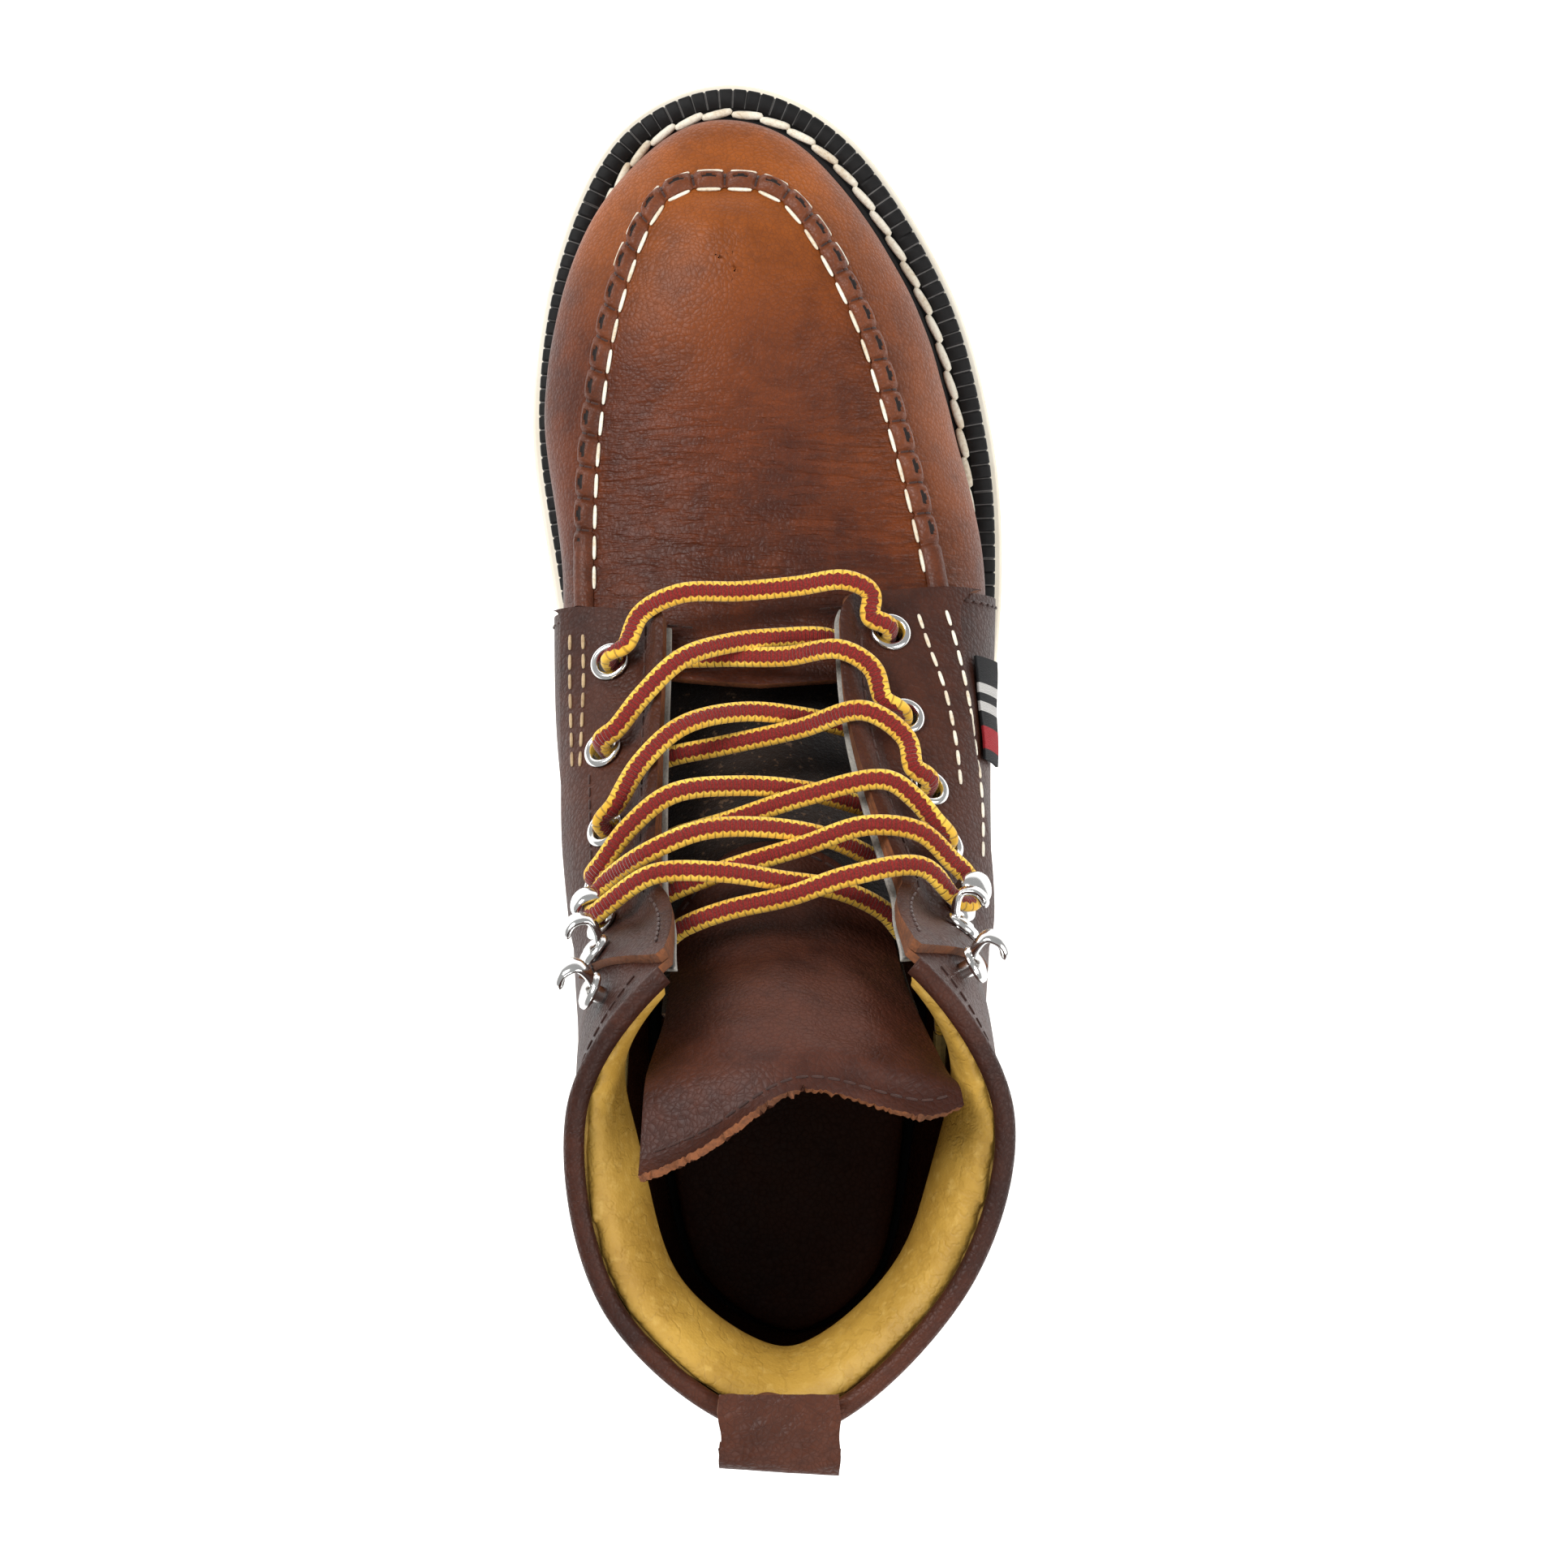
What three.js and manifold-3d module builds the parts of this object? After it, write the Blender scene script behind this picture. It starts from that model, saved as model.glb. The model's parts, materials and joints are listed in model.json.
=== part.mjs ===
// Right-foot steel toe work boot, six inch shaft, moccasin toe. Millimetres, +Z up.
// +Y points to the toe and +X to the wearer's right. The origin is below the middle of the boot's box.
import * as THREE from "three";
import { mergeVertices } from "three/addons/utils/BufferGeometryUtils.js";
import Module from "manifold-3d";

const wasm = await Module();
wasm.setup();

// Driving dimensions.
const gap = 0.35; // between pieces that touch
const midsoleHeight = 3;
const weltHeight = 4;
const weltWidth = 17;
const boardHeight = 2.2;
const footbedHeight = 4;
const laceRadius = 2.2;
const eyeletHole = 2.95;
const eyeletBarrel = 3.35;
const eyeletFlange = 4.6;
const eyeletBore = 3.75; // hole in the leathers round the barrel
const rivetRadius = 1.9;
const rivetBore = 2.3;
const loopWidth = 25;
const weltTop = 0.3; // air between the welt and the upper
const boardInset = 20.5; // of the insole board, inside the sole's edge
const footbedInset = 21.5;
const quarterFoot = 0.03; // rise of the quarters' and the backstay's lower edges
const stayWidth = 0.3; // of the eyestays, as a rise
const flapLift = 5; // how far the flaps' free edges stand off
const padDepth = 8.5; // of the collar's padding at the heel and sides
const padEnds = 5; // and at its two front ends
const rimReach = [-1.5, 2.9]; // of the collar's rim, inwards and outwards

// Layers of the upper, as the distances of their two faces from the last.
const layers = {
  vamp: [-2, 0],
  steelCap: [-4.6, -2.8],
  vampLining: [-6.6, -5.6],
  facing: [-1.7, -0.6],
  counter: [-2.1, -0.5],
  shaftLining: [-3.7, -2.7],
  gusset: [-9.5, -8.5],
  quarter: [0.5, 2.3],
  eyestay: [3.2, 4.7],
  backstay: [3.2, 4.7],
  tag: [2.8, 3.6],
};

// Colours by material.
const finishes = {
  brownLeather: { color: 0x7a3a1a, roughness: 0.5, metalness: 0 },
  darkLeather: { color: 0x4b2415, roughness: 0.55, metalness: 0 },
  suede: { color: 0x21150f, roughness: 0.95, metalness: 0 },
  yellowLining: { color: 0xc09030, roughness: 0.7, metalness: 0 },
  greyTextile: { color: 0xa8a39a, roughness: 0.95, metalness: 0 },
  foam: { color: 0xd8cfa8, roughness: 1, metalness: 0 },
  blackRubber: { color: 0x151515, roughness: 0.6, metalness: 0 },
  paleRubber: { color: 0xe8e0cf, roughness: 0.75, metalness: 0 },
  fibreboard: { color: 0x8a6a45, roughness: 0.9, metalness: 0 },
  cork: { color: 0x9b7448, roughness: 0.95, metalness: 0 },
  steel: { color: 0x9a9da0, roughness: 0.35, metalness: 1 },
  nickel: { color: 0xc9cbcc, roughness: 0.2, metalness: 1 },
  lace: { color: 0xd9ab3c, roughness: 0.85, metalness: 0 },
  blackWeave: { color: 0x111111, roughness: 0.8, metalness: 0 },
};

// The last as ribs, from the toe round the inner side to the heel and back on the outer side.
// sole: edge of the sole in plan; feather: how far inside it the upper starts;
// wall: [distance inside the sole's edge, height] of the widest place; shoulder: where the rib turns over;
// crown: how far it swells between shoulder and top; top: where it ends.
const ridge = {
  tip: [-8, 104, 65],
  front: [-8, 90, 66],
  ball: [-6.5, 64, 66.5],
  throat: [-4, 34, 71.5],
  instep: [0, -2, 88.5],
  ankle: [4, -44, 134],
};
const ribs = [
  {
    sole: [-8, 155.1], feather: 13, wall: [11.9, 42],
    shoulder: [-10, 127.7, 53.5], crown: [0, 2, 3], top: ridge.tip,
  },
  {
    sole: [-34.7, 144.4], feather: 12.3, wall: [11, 42],
    shoulder: [-25, 123.5, 55], crown: [0, 0, 3], top: ridge.tip,
  },
  {
    sole: [-50.4, 114.8], feather: 9.8, wall: [6.5, 43],
    shoulder: [-35.4, 99.5, 58], crown: [0, 0, 2.5], top: ridge.front,
  },
  {
    sole: [-56.2, 77], feather: 9, wall: [4.5, 42],
    shoulder: [-40.6, 69.8, 58], crown: [0, 0, 2.3], top: ridge.ball,
  },
  {
    sole: [-51.5, 38], feather: 8, wall: [4, 47],
    shoulder: [-42, 38, 61], crown: [0, 0, 3], top: ridge.throat,
  },
  {
    sole: [-44.5, 0], feather: 5, wall: [-1.5, 56],
    shoulder: [-40, 2, 77], crown: [-1, 0, 4.5], top: ridge.instep,
  },
  {
    sole: [-38.5, -42], feather: 5, wall: [-3, 62],
    shoulder: [-38.5, -38, 98], crown: [-4, 3, 4], top: ridge.ankle,
  },
  {
    sole: [-37, -62], feather: 5.5, wall: [-3, 66],
    shoulder: [-38.5, -62, 103], crown: [-5, 4, 0], top: [-19, -50, 168],
  },
  {
    sole: [-36, -85], feather: 6, wall: [-2, 68],
    shoulder: [-37.5, -86, 104], crown: [0, 0, 0], top: [-38.5, -80, 160],
  },
  {
    sole: [-26, -131], feather: 7, wall: [1, 68],
    shoulder: [-27, -128, 103], crown: [1, 1, 0], top: [-30, -122, 156],
  },
  {
    sole: [6, -151], feather: 8, wall: [3, 66],
    shoulder: [5.5, -145, 101], crown: [0, 1.5, 0], top: [5, -145, 156],
  },
  {
    sole: [36, -131], feather: 7, wall: [1, 68],
    shoulder: [37, -127, 103], crown: [-1, 1, 0], top: [38.5, -118, 156],
  },
  {
    sole: [45, -85], feather: 6, wall: [-1, 68],
    shoulder: [46.5, -86, 104], crown: [0, 0, 0], top: [49, -80, 160],
  },
  {
    sole: [46.8, -62], feather: 5.5, wall: [0, 66],
    shoulder: [46, -60, 103], crown: [4, 4, 0], top: [29, -48, 168],
  },
  {
    sole: [48.8, -42], feather: 6, wall: [0.5, 62],
    shoulder: [45, -38, 98], crown: [3, 3, 4], top: ridge.ankle,
  },
  {
    sole: [53, 0], feather: 7.5, wall: [3.5, 56],
    shoulder: [43, 2, 79], crown: [1, 0, 4.5], top: ridge.instep,
  },
  {
    sole: [56.1, 38], feather: 9, wall: [4.5, 47],
    shoulder: [38.5, 38, 63], crown: [0, 0, 3], top: ridge.throat,
  },
  {
    sole: [53.8, 72], feather: 11.2, wall: [9.3, 42],
    shoulder: [30.7, 69.8, 59], crown: [0, 0, 2.3], top: ridge.ball,
  },
  {
    sole: [43.4, 107.8], feather: 12.7, wall: [11.5, 42],
    shoulder: [21.2, 98.2, 58], crown: [0, 0, 2.5], top: ridge.front,
  },
  {
    sole: [20, 142.5], feather: 13, wall: [12, 42],
    shoulder: [5.7, 123.2, 55], crown: [0, 0, 3], top: ridge.tip,
  },
];
const ribCount = ribs.length;
const ridgeRibs = 5; // ribs on each side of the toe whose tops meet on the ridge line

const vector = (p) => new THREE.Vector3(p[0], p[1], p[2] ?? 0);
const mix = (a, b, t) => a + (b - a) * t;
const loopCurve = (points) => new THREE.CatmullRomCurve3(points, true, "catmullrom", 0.5);
const openCurve = (points) => new THREE.CatmullRomCurve3(points, false, "catmullrom", 0.5);

// Heights along the boot, as [y, z] points: the sole's two faces.
const profile = (points) => openCurve(points.map(([y, z]) => new THREE.Vector3(0, y, z)));
function heightAt(curve, y) {
  let low = 0;
  let high = 1;
  for (let step = 0; step < 30; step += 1) {
    const middle = (low + high) / 2;
    if (curve.getPoint(middle).y > y) low = middle;
    else high = middle;
  }
  return curve.getPoint(low).z;
}
const outsoleTopProfile = profile([
  [165, 22], [140, 19], [100, 15.8], [60, 15], [20, 17], [-20, 21.5], [-60, 26], [-100, 29], [-160, 31],
]);
const outsoleTop = (y) => heightAt(outsoleTopProfile, y);
const outsoleBottom = (y) => Math.max(0, (y - 85) / 70) ** 2 * 7 + Math.max(0, (-y - 138) / 13) ** 2 * 1.5;
const midsoleTop = (y) => outsoleTop(y) + gap + midsoleHeight;
const upperBase = (y) => midsoleTop(y) + gap + weltHeight;

// The sole's edge in plan, moved inwards by a distance.
const soleEdge = loopCurve(ribs.map((rib) => vector(rib.sole)));
function edgePoint(t, inset) {
  const at = soleEdge.getPoint(t);
  const along = soleEdge.getTangent(t);
  return new THREE.Vector3(at.x - along.y * inset, at.y + along.x * inset, 0);
}

// Five lines run round the last, through the same places of all its ribs.
const ribShare = (index) => index / ribCount;
const featherLine = loopCurve(
  ribs.map((rib, index) => {
    const at = edgePoint(ribShare(index), rib.feather);
    return at.setZ(upperBase(at.y) + weltTop);
  }),
);
const wallLine = loopCurve(
  ribs.map((rib, index) => edgePoint(ribShare(index), rib.wall[0]).setZ(rib.wall[1])),
);
const shoulderLine = loopCurve(ribs.map((rib) => vector(rib.shoulder)));
const crownLine = loopCurve(
  ribs.map((rib) => vector(rib.shoulder).lerp(vector(rib.top), 0.5).add(vector(rib.crown))),
);
const topLine = loopCurve(ribs.map((rib) => vector(rib.top)));
const lastLines = [featherLine, wallLine, shoulderLine, crownLine, topLine];

// How far round the last a place is, in ribs, counted from the toe with the outer side negative.
const share = (turn) => (((turn / ribCount) % 1) + 1) % 1;
const onRidge = (turn) => {
  const fromToe = Math.min(share(turn), 1 - share(turn)) * ribCount;
  return THREE.MathUtils.clamp(ridgeRibs + 1 - fromToe, 0, 1);
};

// A point of the last: turn in ribs, rise from 0 at the feather to 1 at the top.
function lastPoint(turn, rise) {
  const p = lastLines.map((line) => line.getPoint(share(turn)));
  const under = p[0].clone().multiplyScalar(2).sub(p[1]);
  const over = p[4].clone().multiplyScalar(2).sub(p[3]);
  over.z = mix(over.z, p[3].z, onRidge(turn));
  const along = openCurve([under, ...p, over]);
  return along.getPoint((1 + 4 * rise) / 6);
}
function lastNormal(turn, rise) {
  const step = 0.01;
  const low = Math.max(rise - step, 0);
  const high = Math.min(rise + step, 1);
  const round = lastPoint(turn + step, rise).sub(lastPoint(turn - step, rise));
  const up = lastPoint(turn, high).sub(lastPoint(turn, low));
  return round.cross(up).normalize();
}
function ridgeNormal(fromToe) {
  const at = Math.max(fromToe, 1.6); // in front of this the ridge line stands still
  const along = topLine.getPoint(share(at + 0.2)).sub(topLine.getPoint(share(at - 0.2)));
  return new THREE.Vector3(0, along.z, -along.y).normalize();
}
function lastOffset(turn, rise, out) {
  const fromToe = Math.min(share(turn), 1 - share(turn)) * ribCount;
  const normal = rise > 0.999 && fromToe < ridgeRibs ? ridgeNormal(fromToe) : lastNormal(turn, rise);
  return lastPoint(turn, rise).addScaledVector(normal, out);
}
// The rise at which a rib reaches a distance across the boot.
function riseAt(turn, x) {
  let low = 0.4;
  let high = 1;
  const outward = Math.sign(lastPoint(turn, 0.5).x);
  for (let step = 0; step < 24; step += 1) {
    const middle = (low + high) / 2;
    if (lastPoint(turn, middle).x * outward > x * outward) low = middle;
    else high = middle;
  }
  return low;
}

const boot = new THREE.Group();
function addPiece(name, geometry, finish) {
  const mesh = new THREE.Mesh(geometry, new THREE.MeshStandardMaterial(finishes[finish]));
  mesh.name = name;
  boot.add(mesh);
  return mesh;
}

// A box of cells bent into place: place(a, b, c) takes shares from 0 to 1 along, across and through.
function bentBox(along, across, place, openEnd = false) {
  const geometry = new THREE.BoxGeometry(1, 1, 1, along, across, 1);
  if (openEnd) {
    const end = geometry.groups[2];
    const kept = [...geometry.index.array].filter((_, i) => i < end.start || i >= end.start + end.count);
    geometry.setIndex(kept);
  }
  const position = geometry.attributes.position;
  for (let i = 0; i < position.count; i += 1) {
    const moved = place(position.getX(i) + 0.5, position.getY(i) + 0.5, position.getZ(i) + 0.5);
    position.setXYZ(i, moved.x, moved.y, moved.z);
  }
  return plain(geometry);
}
function plain(geometry) {
  geometry.deleteAttribute("normal");
  geometry.deleteAttribute("uv");
  geometry.clearGroups();
  const merged = mergeVertices(geometry, 1e-3);
  merged.computeVertexNormals();
  return merged;
}
// A panel of the upper between two turns, with its rise and its depths as functions.
function panel(turns, rises, depths, cells) {
  const [from, to] = turns;
  const [under, over] = depths;
  return bentBox(cells[0], cells[1], (a, b, c) => {
    const turn = mix(from, to, a);
    const rise = mix(rises(turn)[0], rises(turn)[1], b);
    return lastOffset(turn, rise, mix(under(b, a), over(b, a), c));
  });
}
const level = (value) => () => value;
const levels = ([under, over]) => [level(under), level(over)];
// A dome that closes on the ridge line, as far round on both sides as its end for each rise.
function dome(end, rise, depths, cells) {
  return bentBox(
    cells[0],
    cells[1],
    (a, b, c) => {
      const at = mix(rise, 1, b);
      return lastOffset(mix(-end(at), end(at), a), at, mix(depths[0], depths[1], c));
    },
    true,
  );
}

// Solids for cutting and joining.
function solidOf(geometry) {
  const world = plain(geometry.clone());
  return new wasm.Manifold(
    new wasm.Mesh({
      numProp: 3,
      vertProperties: world.attributes.position.array,
      triVerts: new Uint32Array(world.index.array),
    }),
  );
}
function geometryOf(solid) {
  const mesh = solid.getMesh();
  const geometry = new THREE.BufferGeometry();
  geometry.setAttribute("position", new THREE.BufferAttribute(mesh.vertProperties, 3));
  geometry.setIndex(new THREE.BufferAttribute(mesh.triVerts, 1));
  geometry.computeVertexNormals();
  return geometry;
}
const join = (a, b) => geometryOf(solidOf(a).add(solidOf(b)));
const cut = (a, ...tools) => geometryOf(tools.reduce((left, tool) => left.subtract(solidOf(tool)), solidOf(a)));

// Flat pieces of the sole: layers inside the sole's edge, from heel to toe.
const endTrim = 0.25; // cut off both ends, where the edge runs straight across
function edgeSamples(inset) {
  const samples = 400;
  return Array.from({ length: samples }, (_, i) => edgePoint(i / samples, inset));
}
function layer(inset, low, high, cells = 22) {
  const rim = edgeSamples(inset);
  const front = Math.max(...rim.map((p) => p.y)) - endTrim;
  const back = Math.min(...rim.map((p) => p.y)) + endTrim;
  const crossing = (y) => {
    const found = rim
      .map((p, i) => [p, rim[(i + 1) % rim.length]])
      .filter(([p, q]) => p.y > y !== q.y > y)
      .map(([p, q]) => mix(p.x, q.x, (y - p.y) / (q.y - p.y)));
    return [Math.min(...found), Math.max(...found)];
  };
  return bentBox(2, cells, (a, b, c) => {
    const eased = (1 - Math.cos(Math.PI * b)) / 2;
    const y = mix(back, front, eased);
    const [left, right] = crossing(y);
    return new THREE.Vector3(mix(left, right, a), y, mix(low(y), high(y), c));
  });
}
addPiece("wedge_outsole", layer(0, outsoleBottom, outsoleTop), "paleRubber");
addPiece("midsole", layer(0.6, (y) => outsoleTop(y) + gap, midsoleTop), "paleRubber");
const weltLow = (y) => midsoleTop(y) + gap;
const weltDisc = layer(2, weltLow, upperBase);
const weltInside = layer(weltWidth, (y) => weltLow(y) - 2, (y) => upperBase(y) + 2);
addPiece("welt", cut(weltDisc, weltInside), "blackRubber");
const fillerTop = (y) => upperBase(y) - 0.2;
const fillerDisc = layer(weltWidth + gap, weltLow, fillerTop, 16);
const shank = { front: 30, back: -85, width: 14, height: 1.6 };
function strap(width, low, high, front, back) {
  return bentBox(1, 8, (a, b, c) => {
    const y = mix(back, front, b);
    return new THREE.Vector3(mix(-width / 2, width / 2, a) + 3, y, mix(low(y), high(y), c));
  });
}
const shankLow = (y) => weltLow(y) + 1;
const shankTop = (y) => shankLow(y) + shank.height;
addPiece("steel_shank", strap(shank.width, shankLow, shankTop, shank.front, shank.back), "steel");
const slotLow = (y) => shankLow(y) - gap;
const slotTop = (y) => fillerTop(y) + 2;
const shankSlot = strap(shank.width + 2 * gap, slotLow, slotTop, shank.front + gap, shank.back - gap);
addPiece("cork_filler", cut(fillerDisc, shankSlot), "cork");
const boardLow = (y) => upperBase(y) + gap;
const boardTop = (y) => boardLow(y) + boardHeight;
addPiece("insole_board", layer(boardInset, boardLow, boardTop, 18), "fibreboard");
const footbedLow = (y) => boardTop(y) + gap;
const footbedTop = (y) => footbedLow(y) + footbedHeight;
addPiece("footbed", layer(footbedInset, footbedLow, footbedTop, 18), "darkLeather");

// Toe.
const seamHalf = 0.008;
const vampEnd = 4.4; // the vamp's sides end under the quarters, and its middle shows in the throat
const wingEnd = 4.26;
const throatEnd = 4.8;
const apronEnd = (rise) => mix(wingEnd, throatEnd, THREE.MathUtils.smoothstep(rise, 0.8, 0.9));
addPiece("apron", dome(apronEnd, 0.5 + seamHalf, layers.vamp, [22, 9]), "brownLeather");
const wallRise = level([0, 0.5 - seamHalf]);
addPiece("vamp_wall", panel([-vampEnd, vampEnd], wallRise, levels(layers.vamp), [28, 4]), "brownLeather");
addPiece("steel_toe_cap", dome(level(2.45), 0.06, layers.steelCap, [16, 6]), "steel");
addPiece("vamp_lining", dome(level(vampEnd), 0.05, layers.vampLining, [20, 6]), "greyTextile");
const quarterFront = 4.3;
const lateralFront = 4.18;
const seamEnd = quarterFront - 0.03;
const seamBack = lateralFront - 0.03;
const seamDepth = [level(gap), (b) => gap + 0.4 + 1.8 * Math.sin(Math.PI * b)];
const seamBand = panel([-seamBack, seamEnd], level([0.465, 0.545]), seamDepth, [34, 3]);
addPiece("moc_seam_band", seamBand, "darkLeather");

// Holes for lacing, in plan, from the throat up: eyelets first, then hooks.
const lacing = {
  medial: [[-33.5, 14], [-34, -6], [-32.6, -23.5], [-32.8, -35.5], [-31.6, -45], [-32.3, -50.3], [-31.8, -57]],
  lateral: [[27.2, 20.5], [29.9, 1], [34.2, -15], [36.6, -27], [38.7, -40.4], [39, -46.3], [39.5, -52]],
};
const eyeletCount = 4;

// Drop a point on the last from above.
const lastMesh = new THREE.Mesh(
  bentBox(160, 40, (a, b, c) => lastOffset(mix(-10, 10, a), b, mix(-30, 0, c))),
  new THREE.MeshBasicMaterial({ side: THREE.DoubleSide }),
);
const plumb = new THREE.Raycaster();
const down = new THREE.Vector3(0, 0, -1);
function dropOn(x, y) {
  plumb.set(new THREE.Vector3(x, y, 400), down);
  const hit = plumb.intersectObject(lastMesh)[0];
  return { point: hit.point, normal: hit.face.normal };
}
// A frame on the last at a place in plan: X across the boot, Z straight out.
function frameOn(x, y) {
  const { point, normal } = dropOn(x, y);
  const across = new THREE.Vector3(1, 0, 0).addScaledVector(normal, -normal.x).normalize();
  const ahead = normal.clone().cross(across);
  return new THREE.Matrix4().makeBasis(across, ahead, normal).setPosition(point);
}
const standing = (geometry, x, y) => geometry.clone().applyMatrix4(frameOn(x, y));
const drill = (radius, x, y) => {
  const bar = new THREE.CylinderGeometry(radius, radius, 16, 8).rotateX(Math.PI / 2);
  return standing(bar, x, y);
};
const drills = (side) =>
  lacing[side].map(([x, y], index) => drill(index < eyeletCount ? eyeletBore : rivetBore, x, y));

// Rear upper. The flaps' free edges run along the throat at a set distance from the middle.
const throatEdge = {
  medial: openCurve([vector([-21.5, 30]), vector([-21.5, 0]), vector([-20, -30]), vector([-18.8, -52])]),
  lateral: openCurve([vector([15.5, 33]), vector([18.5, 2]), vector([26.5, -27]), vector([29, -50])]),
};
const sides = {
  medial: { front: quarterFront, kink: 7, end: 9.98, sign: 1 },
  lateral: { front: -lateralFront, kink: -7, end: -9.98, sign: -1 },
};
const edgeX = (side, turn) => {
  const { front, kink } = sides[side];
  return throatEdge[side].getPoint(THREE.MathUtils.clamp((turn - front) / (kink - front), 0, 1)).x;
};
function flapTop(side, turn) {
  const { kink, sign } = sides[side];
  const reach = 0.985;
  if (sign * turn >= sign * kink) return reach;
  return Math.min(riseAt(turn, edgeX(side, turn)), reach);
}
// The flaps stand off the throat near their free edges, so that the lace passes under them.
function lift(side, turn, rise) {
  const { kink, sign } = sides[side];
  const inward = Math.abs(lastPoint(turn, rise).x - edgeX(side, turn));
  const near = 1 - THREE.MathUtils.smoothstep(inward, 1, 7);
  return flapLift * near * (1 - THREE.MathUtils.smoothstep(sign * turn, sign * kink - 0.8, sign * kink));
}
function flap(side, turns, rises, [low, high], cells) {
  const depth = (out) => (b, a) => {
    const turn = mix(turns[0], turns[1], a);
    return out + lift(side, turn, mix(rises(turn)[0], rises(turn)[1], b));
  };
  return panel(turns, rises, [depth(low), depth(high)], cells);
}
const ordered = (a, b) => (a < b ? [a, b] : [b, a]);
const stayFace = layers.eyestay[1];
for (const side of Object.keys(sides)) {
  const { front, kink, end, sign } = sides[side];
  const top = (turn) => flapTop(side, turn);
  const quarterRises = (turn) => [quarterFoot, top(turn)];
  const quarterPanel = flap(side, ordered(front, end), quarterRises, layers.quarter, [22, 8]);
  addPiece("quarter_" + side, cut(quarterPanel, ...drills(side)), "darkLeather");
  const stayRises = (turn) => [top(turn) - stayWidth, top(turn)];
  const stayPanel = flap(side, ordered(front, kink), stayRises, layers.eyestay, [16, 5]);
  addPiece("eyestay_" + side, cut(stayPanel, ...drills(side)), "darkLeather");
  const facingRises = (turn) => [0.52, top(turn)];
  const facing = flap(side, ordered(sign * 5, kink - sign * 0.05), facingRises, layers.facing, [9, 4]);
  addPiece("facing_lining_" + side, cut(facing, ...drills(side)), "greyTextile");
}
const counterRises = level([quarterFoot, 0.45]);
addPiece("heel_counter", panel([7.7, 12.3], counterRises, levels(layers.counter), [14, 4]), "fibreboard");
const liningTop = (turn) => mix(0.7, 0.48, THREE.MathUtils.smoothstep(Math.abs(turn - ribCount / 2), 2.6, 3.6));
const liningRises = (turn) => [0.05, liningTop(turn)];
addPiece("shaft_lining", panel([5.1, 14.9], liningRises, levels(layers.shaftLining), [22, 5]), "brownLeather");
const collarTurns = [7.06, 12.94];
const arch = (share) => Math.sin(Math.PI * THREE.MathUtils.clamp(share, 0, 1));
const padHere = (a) => mix(padEnds, padDepth, THREE.MathUtils.smoothstep(arch(a), 0.2, 0.7));
const padSwell = (b, a) => padHere(a) * arch(b) ** 0.6;
const padDepths = [(b, a) => -1.2 - padSwell(b, a), level(-0.7)];
addPiece("collar_foam", panel([7.6, 12.4], level([0.74, 0.97]), padDepths, [16, 4]), "foam");
const padShare = (b) => (b - 0.1) / 0.85;
const softDepths = [(b, a) => -2.8 - padSwell(padShare(b), a), (b, a) => -1.7 - padSwell(padShare(b), a)];
addPiece("collar_lining", panel(collarTurns, level([0.715, 0.985]), softDepths, [20, 6]), "yellowLining");
const rim = bentBox(24, 1, (a, b, c) => {
  const turn = mix(...collarTurns, a);
  const low = lastOffset(turn, 1, mix(...rimReach, c));
  low.z += mix(gap - 0.5, 3.2, b) - 0.6 * Math.abs(c - 0.5) * b;
  return low;
});
addPiece("collar_rim", rim, "darkLeather");
const backstayRises = level([quarterFoot, 0.93]);
addPiece("backstay", panel([9.55, 10.45], backstayRises, levels(layers.backstay), [4, 9]), "darkLeather");

// Pull loop: a strap folded back on itself, standing out behind the collar.
const loop = new THREE.Shape();
const loopRoot = { y: -140.5, z: 163.2 };
loop.moveTo(0, 0);
loop.lineTo(7.5, 0);
loop.quadraticCurveTo(14.2, -0.8, 14.2, -5);
loop.quadraticCurveTo(14.2, -9.5, 11, -9.5);
loop.lineTo(9.2, -9.5);
loop.lineTo(9.2, -7.7);
loop.lineTo(10.6, -7.7);
loop.quadraticCurveTo(12.4, -7.7, 12.4, -5);
loop.quadraticCurveTo(12.4, -2.2, 7.5, -1.8);
loop.lineTo(0, -1.8);
loop.closePath();
const loopStrap = new THREE.ExtrudeGeometry(loop, { depth: loopWidth, bevelEnabled: false, curveSegments: 5 });
loopStrap.applyMatrix4(
  new THREE.Matrix4().makeBasis(
    new THREE.Vector3(0, -1, 0),
    new THREE.Vector3(0, 0, 1),
    new THREE.Vector3(-1, 0, 0),
  ),
);
loopStrap.translate(15.6, loopRoot.y, loopRoot.z);
addPiece("pull_loop", loopStrap, "darkLeather");

// Tongue, along its own middle line.
const tongueLine = openCurve(
  [[-3, 17, 63], [-1, 0, 73], [1.5, -22, 92], [4, -44, 116], [6, -57, 145], [7, -68, 163], [7.5, -79, 170]].map(vector),
);
const tongueWidths = openCurve([24, 24, 25, 26, 29, 32, 34].map((w, i) => new THREE.Vector3(w, i, 0)));
const tongueDrops = openCurve([7, 7, 8, 9, 11, 10, 9].map((d, i) => new THREE.Vector3(d, i, 0)));
function tonguePoint(u, v, out) {
  const at = tongueLine.getPoint(v);
  const along = tongueLine.getTangent(v);
  const normal = new THREE.Vector3(0, along.z, -along.y).normalize();
  const across = 2 * u - 1;
  at.x -= across * tongueWidths.getPoint(v).x;
  return at.addScaledVector(normal, out - tongueDrops.getPoint(v).x * across * across);
}
const tonguePiece = (from, to, low, high, cells, slim = 1) =>
  bentBox(8, cells, (a, b, c) => tonguePoint(0.5 + (a - 0.5) * slim, mix(from, to, b), mix(low, high, c)));
const tongueSplit = 0.62;
addPiece("tongue_base", tonguePiece(0, tongueSplit - 0.004, 0, 1.6, 12), "suede");
addPiece("tongue_facing", tonguePiece(0.36, tongueSplit - 0.004, 1.95, 3.4, 7, 0.96), "brownLeather");
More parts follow.
